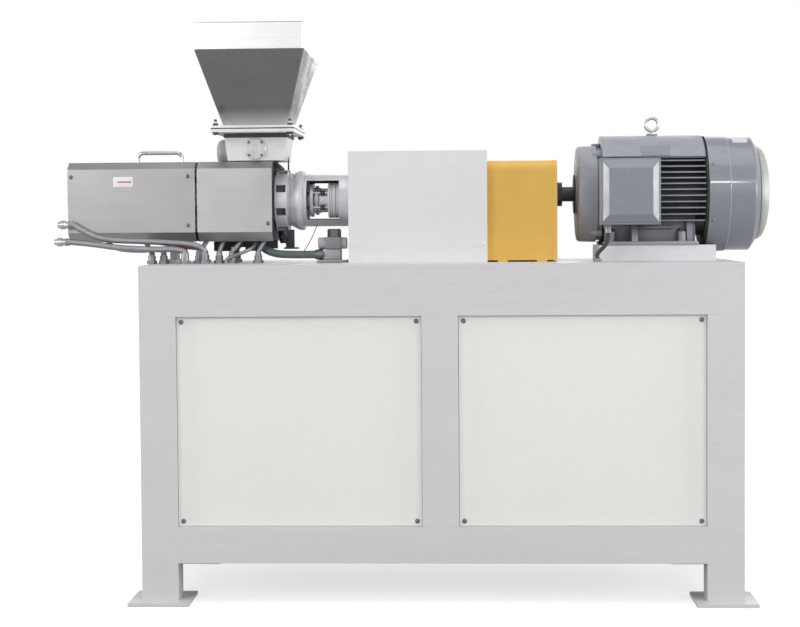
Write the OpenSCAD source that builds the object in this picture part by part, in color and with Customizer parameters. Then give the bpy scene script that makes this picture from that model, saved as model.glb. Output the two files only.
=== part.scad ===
// Twin screw extruder on a welded table frame, with its motor, gearbox, barrel and hopper.
// Origin on the floor under the middle of the machine, X from the die end to the motor, Z up.

/* [Frame] */
// Length of the frame along the machine
frame_len = 1480; // [1440:10:1600]
// Depth of the frame from front to back
frame_depth = 600; // [560:10:760]
// How far the frame's middle lies from the machine's middle
frame_shift = 75; // [60:1:90]
// Height of the table top above the floor
table_h = 836; // [780:1:900]
// Thickness of the table plate
plate_t = 10; // [6:1:14]
// Height of the top rails
top_rail_h = 117; // [90:1:130]
// Height of the bottom rails
bottom_rail_h = 90; // [70:1:110]
// Gap between the floor and the bottom rails
rail_gap = 100; // [70:1:140]
// Width of a frame tube across the front
tube_w = 90; // [70:1:110]
// Depth of a frame tube
tube_d = 70; // [56:1:90]
// Wall of a frame tube
tube_wall = 4; // [3:0.5:6]
// Side of a square foot plate
foot_w = 150; // [130:1:180]
// Thickness of a foot plate
foot_t = 8; // [5:1:12]

/* [Panels] */
// Thickness of a panel sheet
panel_t = 2; // [1:0.5:3]
// How far a panel lies behind the face of the frame
panel_recess = 12; // [6:1:20]
// Gap round a panel
panel_gap = 1; // [0.5:0.5:3]
// Side of a corner tab that holds a panel
tab_w = 26; // [20:1:36]
// Thickness of a corner tab
tab_t = 3; // [2:1:5]
// Diameter of a panel screw
panel_screw_d = 6; // [4:1:8]

/* [Drive] */
// Height of the machine bed under the gearbox and the motor
bed_h = 40; // [30:1:50]
// Centre height of the motor above its feet
motor_h = 132; // [128:1:140]
// Length of the motor's drive end shield
bell_len = 68; // [56:1:80]
// Length of the finned motor frame
motor_len = 264; // [250:1:330]
// Length of the fan cowl
cowl_len = 133; // [90:1:150]
// Diameter of the fan cowl
cowl_d = 290; // [280:1:310]
// Height of the domed fan grille
dome_h = 36; // [30:1:60]
// Diameter of the drive end shield
bell_d = 242; // [236:1:256]
// Diameter of the motor shaft
motor_shaft_d = 38; // [32:1:42]
// Length of shaft that shows between the coupling and the motor
shaft_show = 30; // [20:1:50]
// Outer diameter of the coupling hubs
hub_d = 62; // [56:1:68]
// How far the motor hub stands out of the guard
hub_proud = 18; // [14:1:30]
// Length of the coupling guard
guard_len = 177; // [165:1:220]
// Height of the coupling guard's top above the motor axis
guard_rise = 85; // [70:1:100]
// Width of the coupling guard
guard_w = 260; // [200:1:290]
// Length of the gearbox cover
cover_len = 351; // [340:1:380]
// Width of the gearbox cover
cover_w = 300; // [280:1:330]
// Height of the gearbox cover's top above the motor axis
cover_rise = 110; // [104:1:130]

/* [Gears] */
// Module of the input gear pair
input_mod = 1.25; // [1.2:0.05:1.3]
// Teeth of the input pinion
input_z = 17; // [17:1:19]
// Teeth of the large layshaft gear
lay_z = 41; // [39:1:43]
// Module of the two output gear pairs
output_mod = 1.5; // [1.45:0.05:1.55]
// Teeth of each output pinion
pinion_z = 18; // [17:1:18]
// Teeth of each layshaft gear that drives an output pinion
split_z = 20; // [20:1:22]

/* [Screws] */
// Outer diameter of a screw
screw_d = 30; // [29:0.5:31]
// Distance between the two screw axes
screw_cd = 25; // [24.8:0.1:25.4]
// Running clearance of the screws in the barrel and between them
screw_gap = 0.3; // [0.25:0.05:0.4]
// Lead of the conveying flights under the hopper
feed_lead = 60; // [45:1:75]
// Lead of the conveying flights between the kneading discs
mix_lead = 40; // [32:1:50]
// Diameter of the screw shanks and of the output shafts
shank_d = 18; // [16:0.5:19]

/* [Barrel] */
// How far the split between the heat shields lies inside the frame's end
split_in = 111; // [100:1:125]
// Length of the heat shield at the die end
front_shield_len = 329; // [310:1:350]
// Length of the heat shield under the hopper
rear_shield_len = 192; // [186:1:210]
// Gap between the two heat shields
shield_gap = 6; // [4:1:10]
// Width of the heat shields
shield_w = 210; // [200:1:230]
// Height of the heat shields' top above the screws
shield_up = 100; // [94:1:110]
// Depth of the heat shields' lower edge below the screws
shield_down = 105; // [96:1:112]
// Width of the shields' slanting edges
shield_bevel = 24; // [16:1:28]
// Thickness of the heat shield sheet
shield_t = 1.5; // [1:0.5:3]
// Width and height of the barrel body
barrel_w = 100; // [92:1:110]
// Diameter of the barrel flanges
barrel_flange_d = 140; // [136:1:146]
// Thickness of the barrel flanges
barrel_flange_t = 18; // [14:1:22]
// Pitch circle of the die bolts
die_pcd = 115; // [112:1:118]
// Number of die bolts
die_bolts = 8; // [6:2:8]
// Diameter of a die bolt hole
die_hole_d = 11; // [9:0.5:13]

/* [Lantern] */
// Diameter of the slotted adapter ring
ring_d = 159; // [156:1:164]
// Length of the adapter ring
ring_len = 31; // [28:1:36]
// Number of bolt pockets round the adapter ring
ring_pockets = 8; // [6:1:10]
// Diameter of the lantern's flange
lantern_flange_d = 155; // [150:1:158]
// Length of the lantern's flange
lantern_flange_len = 40; // [30:1:45]
// Length of the lantern from ring to gearbox
lantern_len = 171; // [165:1:185]
// Diameter of the lantern's body
lantern_d = 136; // [132:1:142]
// Wall of the lantern's body
lantern_wall = 10; // [7:1:12]
// Length of a lantern window
window_len = 84; // [70:1:86]
// Height of a lantern window
window_h = 101; // [86:1:104]

/* [Hopper] */
// Length of the hopper's rim along the machine
rim_l = 276; // [240:1:300]
// Width of the hopper's rim across the machine
rim_w = 398; // [340:1:420]
// Height of the upright collar under the rim
collar_h = 67; // [40:1:90]
// Height of the hopper's cone
cone_h = 187; // [150:1:220]
// Length of the cone's lower end
cone_l = 164; // [150:1:180]
// Width of the cone's lower end
cone_w = 172; // [160:1:200]
// Thickness of the hopper sheet
hopper_t = 3; // [2:0.5:4]
// Length of the hopper flange
hopper_flange_l = 212; // [206:1:230]
// Width of the hopper flange
hopper_flange_w = 290; // [250:1:310]
// Thickness of the hopper flange
hopper_flange_t = 6; // [5:1:10]
// Thickness of the flange gasket
gasket_t = 3; // [2:0.5:5]
// Height of the feed throat above the heat shield
throat_h = 70; // [66:1:90]
// Diameter of the round cover on the feed throat
throat_cover_d = 55; // [50:1:60]
// Height of the agitator shaft above the throat's floor
agitator_rise = 30; // [28:1:34]
// Diameter of the agitator shaft
agitator_d = 14; // [12:1:18]

/* [Handle] */
// Distance between the two legs of the shield handle
handle_span = 116; // [90:1:140]
// Height of the shield handle
handle_h = 32; // [28:1:45]
// Diameter of the handle bar
handle_d = 10; // [8:1:12]

/* [Hidden] */
$fn = 48;

// Overruns, fits and running clearances
cut = 1;
fit = 0.02;
bearing_fit = 0.05;
seat = 0.3;
pressure_angle = 20;
addendum_share = 1;
dedendum_share = 1.25;
tooth_slack = 0.14;

// Frame levels and edges
fx0 = frame_shift - frame_len / 2;
fx1 = frame_shift + frame_len / 2;
fy = frame_depth / 2;
leg_top = table_h - plate_t - top_rail_h;
bay_z = rail_gap + bottom_rail_h;
bay_w = (frame_len - 3 * tube_w) / 2;
end_w = frame_depth - 2 * tube_d;
bay_shift = (tube_w + bay_w) / 2;
screw_head_h = panel_screw_d / 2;

// Gears and heights of the shafts
input_cd = input_mod * (input_z + lay_z) / 2;
output_cd = output_mod * (pinion_z + split_z) / 2;
split_h = sqrt(pow(output_cd, 2) - pow(screw_cd / 2, 2));
bed_z = table_h + bed_h;
motor_z = bed_z + motor_h;
lay_zc = motor_z - input_cd;
screw_z = lay_zc + split_h;
split_angle = atan2(split_h, screw_cd / 2);

// Stations along the machine, from the die end to the fan grille
x_split0 = fx0 + split_in;
x_die = x_split0 - front_shield_len;
x_split1 = x_split0 + shield_gap;
x_shield1 = x_split1 + rear_shield_len;
ring_gap = 4;
x_ring0 = x_shield1 + ring_gap;
x_ring1 = x_ring0 + ring_len;
x_house = x_ring1 + lantern_len;
cover_margin = 7;
x_cover0 = x_house - cover_margin;
x_cover1 = x_cover0 + cover_len;
x_guard1 = x_cover1 + guard_len;
x_hub1 = x_guard1 + hub_proud;
x_motor = x_hub1 + shaft_show;
x_frame0 = x_motor + bell_len;
x_frame1 = x_frame0 + motor_len;
x_cowl1 = x_frame1 + cowl_len;

// Colours
paint = [0.80, 0.80, 0.81];
white = [0.88, 0.88, 0.87];
steel = [0.62, 0.62, 0.63];
dark = [0.22, 0.23, 0.25];
motor_paint = [0.50, 0.52, 0.56];
yellow = [0.87, 0.66, 0.26];
cast = [0.45, 0.46, 0.47];
bronze = [0.66, 0.50, 0.30];

// Rails
cap_t = 4;
cross_share = 0.851;
cross_places = [fx0, frame_shift - tube_d / 2, fx0 + cross_share * frame_len, fx1 - tube_d];

// Motor bed and feet
bed_wall = 10;
bed_over = 9;
bed_w = 260;
foot_bolt_d = 10;
foot_y = 108;
foot_back = 89;
foot_pitch = 178;
foot_x0 = x_motor + foot_back;
foot_x1 = foot_x0 + foot_pitch;

// Motor frame
core_r = 108;
stator_r = 98;
fin_r = 142;
fin_t = 4.4;
fin_pitch = 16;
fin_count = 12;
crown_r = 151;
crown_z = 99;
crown_wall = 8;
foot_rail_t = 34;
foot_rail_in = 84;
foot_rail_out = 134;
web_t = 15;

// Terminal box and its lid
tbox_over = 12;
tbox_x0 = x_frame0 - tbox_over;
tbox_l = 148;
tbox_h = 165;
tbox_up = 85;
tbox_y = -200;
tbox_neck_y = -150;
tbox_wall = 5;
neck_inset = 22;

// Motor bearings, windings and rotor
bearing_r = 40;
bearing_len = 18;
bell_wall = 12;
bell_dish = 14;
boss_r = 52;
rear_journal_r = 17;
stator_bore = 66;
stator_len = 150;
winding_len = 32;
winding_wall = 6;
x_stator = x_frame0 + (motor_len - stator_len) / 2;
air_gap = 0.5;
journal_r = 20;
rotor_neck_r = 26;
x_fan = x_frame1 + bearing_len + cap_t * 2;
fan_len = 44;

// Cooling fan
fan_r = 112;
fan_blades = 9;
fan_disc_t = 5;
blade_t = 3;

// Fan cowl and grille
cowl_wall = 2.5;
cowl_chamfer = 10;
grille_r = 118;
cowl_lap = 4;
wire_r = 1.5;
grille_ring_count = 11;
grille_rib_count = 8;
cap_r = (pow(grille_r, 2) + pow(dome_h, 2)) / (2 * dome_h);
cap_angle = asin(grille_r / cap_r);
dome_in = cap_r - 2 * wire_r;
rim_ring_r = dome_in * sin(cap_angle);
lid_t = 5;
lid_rise = 16;
lid_r = 9;
lid_x_share = [0.12, 0.81];
lid_z_share = [0.17, 0.81];

// Lifting eye
eye_back = 135;
eye_x = x_frame0 + eye_back;
eye_d = 14;
eye_pad_h = 3;
eye_stem_d = 8;
eye_ring_r = 13.5;
eye_wire_r = 4;

// Coupling and its guard
hub_grip = 60;
jaw_len = 14;
jaw_count = 3;
jaw_angle = 40;
jaw_in_r = 21;
spider_arm_t = 6;
spider_bore_r = 9;
hub_len = 74;
spider_gap = 0.3;
x_jaw = x_hub1 - hub_len;
guard_t = 2;
guard_bend = 26;
guard_gap = 4;
guard_hole_r = 36;

// Gearbox cover, case and gears
cover_t = 2.5;
cover_gap = 1;
case_w = 236;
case_wall = 22;
case_lid_t = 10;
case_top = motor_z + cover_rise - cover_t - case_lid_t - cover_gap;
nose_r = 46;
nose_len = 68;
bush_r = 12;
lay_bush_r = 15;
in_bush_r = 18;
lay_r = 8;
input_r = 12;
web_wall = 15;
case_end = x_cover1 - cover_t - cover_gap;
case_run = case_end - x_house - 2 * case_wall;
run_shares = [0.08, 0.24, 0.52, 0.64];
run_x = [for (s = run_shares) x_house + case_wall + s * case_run];
x_web_a = run_x[2];
x_web_b = run_x[3];
sleeve_proud = 18;
x_sleeve = x_house - nose_len - sleeve_proud;
sleeve_len = 46;
sleeve_gap = 0.2;
bush_len = 20;
gear_gap = 8;
gear_share = 0.1;
gear_len = gear_share * case_run;
x_gear_a = run_x[0];
x_gear_b = run_x[1];
x_gear_in = x_web_b + web_wall + gear_gap;
lap = 2;

// Screws
screw_r = screw_d / 2;
root_r = screw_cd - screw_r;
tip_half = 45 - acos(screw_cd / screw_d);
quarter_shares = [tip_half / 90, 0.36, 0.62, 1 - tip_half / 90];
lobe_angles = [for (k = [0 : 3]) let(even = k % 2 == 0) for (i = [0 : 3])
  90 * (k + (even ? quarter_shares[i] : 1 - quarter_shares[3 - i]))];
lobe_points = [for (a = lobe_angles) lobe_r(a) * [cos(a), sin(a)]];
section_shares = [0.24, 0.08, 0.16, 0.08, 0.44];
section_leads = [mix_lead, 0, mix_lead, 0, feed_lead];
disc_count = 5;
disc_turn = 45;
tip_len = 14;
turn_slices = 10;
barrel_inset = 3;
x_flight = x_die + barrel_inset + tip_len + lap;
flight_len = x_ring0 - seat - x_flight;
section_x = [for (i = [0 : 5]) x_flight + flight_len * share_sum(section_shares, i)];

// Barrels, heaters and support
bore_gap = 0.2;
x_barrel0 = x_die + barrel_inset;
x_barrel1 = (x_split0 + x_split1) / 2;
throat_open_l = 50;
throat_open_w = 44;
heater_t = 14;
heater_gap = 8;
cap_drop = 16;
support_in = 40;
support_x = fx0 + support_in;
support_clear = 21;
heater_len = (support_x - support_clear - x_barrel0 - barrel_flange_t - 2 * heater_gap) / 2;
heater_places = [for (i = [0, 1]) x_barrel0 + barrel_flange_t + heater_gap + i * (heater_len + heater_gap)];
support_t = 12;
support_w = 80;

// Lantern, adapter ring and packing gland
pocket_w = 21;
pocket_depth = 17;
pocket_inset = 3;
window_x = 49;
pocket_bolt_d = 8;
bolt_bite = 18;
head_share = 0.65;
gland_body_d = 46;
gland_body_len = 70;
gland_plate_d = 76;
gland_plate_t = 8;

// Heat shields and handle
bevel_rise = 18;
end_inset = 5;
handle_share = 0.675;
handle_x = x_die + front_shield_len * handle_share;
handle_bend = 14;

// Hopper, throat and agitator
hopper_back = 43;
hopper_x = x_shield1 - hopper_back;
neck_l = 64;
neck_w = 80;
throat_z0 = screw_z + shield_up + seat * 8;
throat_z1 = throat_z0 + throat_h;
throat_flange_t = 8;
flange_z1 = throat_z1 + throat_flange_t;
gasket_z1 = flange_z1 + gasket_t;
hopper_z1 = gasket_z1 + hopper_flange_t;
cone_z1 = hopper_z1 + cone_h;
throat_wall = 6;
throat_foot_share = 0.88;
throat_half_w = 80;
inner_l = cone_l - 2 * hopper_t;
inner_w = cone_w - 2 * hopper_t;
throat_cover_t = 9;
cover_screw_d = 8;
paddle_r = 23;
paddle_d = 8;
paddle_count = 6;
drive_w = 70;
drive_l = 64;
small_motor_r = 34;
small_motor_len = 94;
small_motor_end = 12;
hopper_bolt_d = 8;
hopper_bolt_in = 11;
hopper_bolt_x = hopper_flange_l / 2 - hopper_bolt_in;
hopper_bolt_y = hopper_flange_w / 2 - hopper_bolt_in;
hopper_stud_h = 16;

// Cooling water
valve_past = 116;
valve_x = x_ring1 + valve_past;
valve_y = -60;
valve_l = 72;
valve_w = 40;
valve_base_l = 80;
valve_base_t = 7;
valve_port_h = 28;
valve_body_h = 30;
coil_w = 34;
coil_h = 22;
riser_in = 71;
riser_x = fx0 + riser_in;
riser_y = -45;
riser_r = 6;
ball_valve_up = 42;
ball_valve_z = table_h + ball_valve_up;
ball_valve_r = 11;
ball_valve_len = 34;
stem_r = 3;
stem_len = 26;
wing_l = 30;
wing_h = 13;
wing_t = 4;

// Conduits, hose and cable, with their routes
conduit_r = 6;
cap_share = 0.52;
cap_x = [for (x = heater_places) x + heater_len * cap_share];
under_barrel = screw_z - barrel_w / 2 - seat;
under_caps = under_barrel - heater_t - cap_drop;
gland_h = 20;
// Each heater conduit: where it starts, where its foot stands, and its points as shares of the way
conduit_shares = [
  [[0, 0, 0.164], [0.062, 0.226, 0.475], [0.259, 0.452, 0.705], [0.593, 0.581, 0.77],
    [0.852, 0.742, 0.738], [0.963, 0.935, 0.77], [1, 1, 0.902]],
  [[0, 0, 0.148], [0.04, 0.26, 0.328], [0.23, 0.562, 0.459], [0.62, 0.836, 0.639],
    [0.96, 0.986, 0.803], [1, 1, 0.902]],
  [[0, 0, 0.148], [0.056, 0.53, 0.377], [0.239, 1.13, 0.508], [0.592, 1.27, 0.639],
    [0.901, 1.1, 0.738], [1, 1, 0.885]],
  [[0, 0, 0.099], [0.07, 0.27, 0.297], [0.34, 0.53, 0.56], [0.72, 0.84, 0.78], [1, 1, 0.912]],
  [[0, 0, 0.099], [0.11, 0.32, 0.297], [0.42, 0.65, 0.56], [0.84, 0.92, 0.802], [1, 1, 0.912]],
  [[0, 0, 0.099], [0.03, 0.21, 0.297], [0.3, 0.54, 0.56], [0.73, 0.85, 0.78], [1, 1, 0.912]],
  [[0, 0, 0.099], [0, 0.18, 0.275], [0.17, 0.52, 0.495], [0.61, 0.8, 0.714], [1, 1, 0.912]],
  [[0, 0, 0.099], [0.04, 0.44, 0.319], [0.33, 0.89, 0.604], [0.92, 1, 0.824], [1, 1, 0.912]]];
conduit_starts = [
  [cap_x[0], -0.2 * barrel_w, under_caps],
  [cap_x[1], -0.25 * barrel_w, under_caps],
  [cap_x[1], 0.2 * barrel_w, under_caps],
  [along(0.146), -0.38 * barrel_w, under_barrel],
  [along(0.365), -0.38 * barrel_w, under_barrel],
  [along(0.615), -0.38 * barrel_w, under_barrel],
  [along(0.917), -0.38 * barrel_w, under_barrel],
  [along(0.531), 0.3 * barrel_w, under_barrel]];
foot_shares = [[-0.479, -0.82], [-0.625, -0.98], [-0.021, 0.5], [-0.005, -0.83],
  [0.266, -0.75], [0.443, -0.86], [0.797, -0.82], [0.406, 0.66]];
conduit_routes = [for (i = [0 : len(foot_shares) - 1]) way(conduit_starts[i],
  gland_foot(foot_shares[i]), conduit_shares[i])];
die_route_r = 7.5;
die_plug_in = [7, -1];
die_plug_out = [17, 21];
die_plug_shares = [0.368, 0.641];
die_foot_shares = [[0.094, -1.1], [-0.156, -1.22]];
die_shares = [
  [[0.029, 0, 0], [0.087, 0, 0.146], [0.185, 0, 0.354], [0.306, 0.08, 0.476], [0.509, 0.25, 0.524],
    [0.74, 0.42, 0.573], [0.896, 0.67, 0.634], [0.983, 0.92, 0.756], [1, 1, 0.902]],
  [[0.039, 0, 0], [0.144, 0, 0.08], [0.275, 0, 0.21], [0.471, 0, 0.42], [0.732, 0, 0.53],
    [0.895, 0.5, 0.53], [0.984, 1, 0.66], [1, 1, 0.84]]];
die_routes = [for (i = [0, 1]) way([x_die + die_plug_in[i], -shield_w / 2 - die_plug_out[i],
  screw_z - die_plug_shares[i] * (screw_z - table_h)], gland_foot(die_foot_shares[i]), die_shares[i])];
hose_d = 20;
hose_nut_l = 14;
hose_end = [5, -30];
hose_shares = [[0.081, 0, 0], [0.354, 0, 0], [0.665, 0.07, 0.033], [0.876, 0.33, 0.189], [0.975, 0.73,
  0.456],
  [1, 1, 0.744]];
hose_route = way([valve_x - valve_l / 3 - hose_nut_l, valve_y, table_h + valve_base_t + valve_port_h / 2],
  [hopper_x - hose_end[0], hose_end[1], under_barrel], hose_shares);
gland_r = 8;
gland_hole_d = 20;
gland_ends = [for (r = concat(conduit_routes, die_routes)) r[len(r) - 1]];
gland_places = [for (p = gland_ends) [p[0], p[1]]];
cable_in = 20;
cable_drift = 26;
cable_x = tbox_x0 + cable_in;
cable_y = -175;
cable_r = 5;
cable_foot_x = cable_x - cable_drift;
lift_share = 0.4;
cable_shares = [[0, 0, 0.25], [0.31, 0, 0.5], [1, 0, 0.81]];
cable_route = way([cable_x, cable_y, motor_z + tbox_up - tbox_h - gland_h],
  [cable_foot_x, cable_y, table_h + gland_h * lift_share], cable_shares);
plug_r = 11;
plug_len = 28;

// Solid between two opposite corners
module span(lo, hi) {
  translate(lo) cube(hi - lo);
}

// Solid that is symmetric about the machine's middle plane, from x, half width and z ranges
module slab(x0, x1, half, z0, z1) {
  span([x0, -half, z0], [x1, half, z1]);
}

// Round bar along X
module bar_x(x0, x1, r, y = 0, z = 0) {
  translate([x0, y, z]) rotate([0, 90, 0]) cylinder(r = r, h = x1 - x0);
}

// Round bar along Y
module bar_y(y0, y1, r, x = 0, z = 0) {
  translate([x, y1, z]) rotate([90, 0, 0]) cylinder(r = r, h = y1 - y0);
}

// Round bar along Z
module bar_z(z0, z1, r, x = 0, y = 0) {
  translate([x, y, z0]) cylinder(r = r, h = z1 - z0);
}

// Ring along X
module ring_x(x0, x1, ro, ri, y = 0, z = 0) {
  difference() {
    bar_x(x0, x1, ro, y, z);
    bar_x(x0 - cut, x1 + cut, ri, y, z);
  }
}

// Hexagon prism along Z, by its width across flats
module hex(af, h) {
  cylinder(d = af / cos(30), h = h, $fn = 6);
}

// Turned body about an axis along X, from points of radius and distance
module turned(x0, z, points) {
  translate([x0, 0, z]) rotate([0, 90, 0]) rotate_extrude() polygon(points);
}

// Rectangular tube with open ends, its run given as a unit vector
module tube(lo, hi, run) {
  inset = tube_wall * ([1, 1, 1] - run) - cut * run;
  difference() {
    span(lo, hi);
    span(lo + inset, hi - inset);
  }
}

// Places its children at the four corners of a rectangle
module corners(dx, dy) {
  for (sx = [-1, 1], sy = [-1, 1]) translate([sx * dx, sy * dy, 0]) children();
}

// Table plate with round holes for the conduits and hoses
module table_top() {
  color(paint) difference() {
    span([fx0, -fy, table_h - plate_t], [fx1, fy, table_h]);
    for (p = gland_places) bar_z(table_h - plate_t - cut, table_h + cut, gland_hole_d / 2, p[0], p[1]);
  }
}

// Top rails: two capped rails along the machine and cross rails between them
module top_rails() {
  z1 = leg_top + top_rail_h;
  color(paint) {
    for (y = [-fy, fy - tube_d]) {
      tube([fx0 + cap_t, y, leg_top], [fx1 - cap_t, y + tube_d, z1], [1, 0, 0]);
      span([fx0, y, leg_top], [fx0 + cap_t, y + tube_d, z1]);
      span([fx1 - cap_t, y, leg_top], [fx1, y + tube_d, z1]);
    }
    for (x = cross_places) tube([x, tube_d - fy, leg_top], [x + tube_d, fy - tube_d, z1], [0, 1, 0]);
  }
}

// Bottom rails between the posts
module bottom_rails() {
  color(paint) {
    for (y = [-fy, fy - tube_d])
      tube([fx0 + tube_w, y, rail_gap], [fx1 - tube_w, y + tube_d, bay_z], [1, 0, 0]);
    for (x = [fx0, frame_shift - tube_d / 2, fx1 - tube_d])
      tube([x, tube_d - fy, rail_gap], [x + tube_d, fy - tube_d, bay_z], [0, 1, 0]);
  }
}

// One corner tab with its screw hole, welded beside an opening's corner
module tab(sx, sz) {
  y0 = panel_recess + panel_t;
  difference() {
    span([min(0, sx * tab_w), y0, min(0, sz * tab_w)], [max(0, sx * tab_w), y0 + tab_t, max(0,
      sz * tab_w)]);
    bar_y(y0 - cut, y0 + tab_t + cut, panel_screw_d / 2 + fit, sx * tab_w / 2, sz * tab_w / 2);
  }
}

// Places its children in the four corners of an opening, seen from outside it
module opening_corners(w) {
  for (sx = [-1, 1]) translate([-sx * w / 2, 0, 0]) {
    translate([0, 0, bay_z]) children(sx > 0 ? 0 : 1);
    translate([0, 0, leg_top]) children(sx > 0 ? 2 : 3);
  }
}

// Places its children at the two front and the two back openings
module long_openings() {
  for (s = [-1, 1]) {
    translate([frame_shift + s * bay_shift, -fy, 0]) children();
    translate([frame_shift + s * bay_shift, fy, 0]) rotate([0, 0, 180]) children();
  }
}

// Places its children at the openings of both ends
module end_openings() {
  translate([fx0, 0, 0]) rotate([0, 0, -90]) children();
  translate([fx1, 0, 0]) rotate([0, 0, 90]) children();
}

// The four corner tabs of one opening
module tabs(w) {
  opening_corners(w) {
    tab(1, 1);
    tab(-1, 1);
    tab(1, -1);
    tab(-1, -1);
  }
}

// Corner posts, middle posts and the tabs welded to them
module posts() {
  color(paint) {
    for (x = [fx0, fx1 - tube_w], y = [-fy, fy - tube_d])
      tube([x, y, foot_t], [x + tube_w, y + tube_d, leg_top], [0, 0, 1]);
    for (y = [-fy, fy - tube_d]) translate([frame_shift - tube_w / 2, y, 0])
      tube([0, 0, bay_z], [tube_w, tube_d, leg_top], [0, 0, 1]);
    long_openings() tabs(bay_w);
    end_openings() tabs(end_w);
  }
}

// Four square plates under the corner posts
module foot_plates() {
  color(paint) for (x = [fx0 + tube_w / 2, fx1 - tube_w / 2], y = [tube_d / 2 - fy, fy - tube_d / 2])
    translate([x - foot_w / 2, y - foot_w / 2, 0]) cube([foot_w, foot_w, foot_t]);
}

// One flat panel with four screw holes, facing -Y
module panel(w) {
  half = w / 2 - panel_gap;
  difference() {
    span([-half, panel_recess, bay_z + panel_gap], [half, panel_recess + panel_t, leg_top - panel_gap]);
    panel_holes(w);
  }
}

// The screw holes of one panel
module panel_holes(w) {
  y0 = panel_recess - cut;
  y1 = panel_recess + panel_t + cut;
  for (s = [-1, 1], z = [bay_z + tab_w / 2, leg_top - tab_w / 2])
    bar_y(y0, y1, panel_screw_d / 2 + fit, s * (w - tab_w) / 2, z);
}

module front_panels() {
  color(white) for (s = [-1, 1]) translate([frame_shift + s * bay_shift, -fy, 0]) panel(bay_w);
}

// Panels of the back and of both ends
module side_panels() {
  color(white) {
    for (s = [-1, 1]) translate([frame_shift + s * bay_shift, fy, 0]) rotate([0, 0, 180]) panel(bay_w);
    end_openings() panel(end_w);
  }
}

// One button head screw through a panel and its tab
module panel_screw(x, z) {
  translate([x, panel_recess, z]) rotate([-90, 0, 0]) rotate_extrude() polygon([
    [0, -screw_head_h], [panel_screw_d / 2, -screw_head_h], [panel_screw_d, -screw_head_h / 3],
    [panel_screw_d, 0], [panel_screw_d / 2, 0], [panel_screw_d / 2, panel_t + tab_t], [0,
      panel_t + tab_t]]);
}

// The four screws of one opening
module screw_set(w) {
  for (s = [-1, 1], z = [bay_z + tab_w / 2, leg_top - tab_w / 2]) panel_screw(s * (w - tab_w) / 2, z);
}

module panel_screws() {
  color(dark) {
    long_openings() screw_set(bay_w);
    end_openings() screw_set(end_w);
  }
}

// Motor bed: a folded channel frame, open underneath, with tapped holes for the motor feet
module motor_bed() {
  x0 = x_frame0 - bed_over;
  x1 = x_frame1 + bed_over * 2;
  color(white) difference() {
    slab(x0, x1, bed_w / 2, table_h, bed_z);
    slab(x0 + bed_wall, x1 - bed_wall, bed_w / 2 - bed_wall, table_h - cut, bed_z - bed_wall);
    bar_x(x_frame1 - bed_over, x1 + cut, cowl_d / 2 + bed_over, 0, motor_z);
    foot_bolt_places() bar_z(bed_z - bed_wall - cut, bed_z + cut, foot_bolt_d / 2 + fit);
  }
}

// Places its children at the four motor foot bolts
module foot_bolt_places() {
  for (x = [foot_x0, foot_x1], y = [-foot_y, foot_y]) translate([x, y, 0]) children();
}

// Finned motor frame with feet
module motor_section() {
  difference() {
    union() {
      circle(r = core_r);
      difference() {
        crown(crown_r, crown_z);
        difference() {
          crown(crown_r - crown_wall, crown_z + crown_wall);
          circle(r = core_r);
        }
      }
      for (i = [0 : fin_count - 1]) fin((i - (fin_count - 1) / 2) * fin_pitch);
    }
    circle(r = stator_r + fit);
  }
}

// Flat-bottomed segment that closes the top of the motor frame
module crown(r, z) {
  intersection() {
    circle(r = r);
    translate([-r, z]) square([2 * r, r]);
  }
}

// One pair of level fins at a height on both sides of the motor
module fin(h) {
  reach = sqrt(pow(fin_r, 2) - pow(h, 2));
  translate([-reach, h - fin_t / 2]) square([2 * reach, fin_t]);
}

// One foot rail
module foot_rail(s) {
  span([foot_x0 - foot_bolt_d * 2, min(s * foot_rail_in, s * foot_rail_out), bed_z],
    [foot_x1 + foot_bolt_d * 4, max(s * foot_rail_in, s * foot_rail_out), bed_z + foot_rail_t]);
}

// Cross section of the gussets, from the foot rails up to the core
module gusset_section() {
  difference() {
    translate([-foot_y, foot_rail_t - cut - motor_h]) square([2 * foot_y, motor_h - core_r / 2]);
    circle(r = core_r - lap);
    translate([-foot_rail_in / 2, -motor_h]) square([foot_rail_in, motor_h]);
  }
}

module motor_frame() {
  color(motor_paint) difference() {
    union() {
      translate([x_frame0, 0, motor_z]) rotate([90, 0, 90]) linear_extrude(motor_len) motor_section();
      for (s = [-1, 1]) foot_rail(s);
      for (x = [x_frame0 + motor_len * 0.27, x_frame1 - motor_len * 0.2]) translate([x, 0, motor_z])
        rotate([90, 0, 90]) linear_extrude(web_t) gusset_section();
      translate([x_frame0, 0, motor_z]) rotate([90, 0, 90])
        linear_extrude(tbox_l - tbox_over - neck_inset) neck_section();
      bar_z(motor_z + crown_r - crown_wall, motor_z + crown_r + eye_pad_h, eye_d, eye_x);
    }
    foot_bolt_places() bar_z(bed_z - cut, bed_z + foot_rail_t + cut, foot_bolt_d / 2 + fit);
    bar_z(motor_z + crown_r - crown_wall - cut, motor_z + crown_r + eye_pad_h + cut, eye_stem_d / 2 + fit,
      eye_x);
  }
}

// Cast neck that carries the terminal box
module neck_section() {
  difference() {
    translate([tbox_neck_y, tbox_up - tbox_h + neck_inset]) square([-tbox_neck_y, tbox_h - 2 * neck_inset]);
    circle(r = core_r - lap);
  }
}

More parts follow.
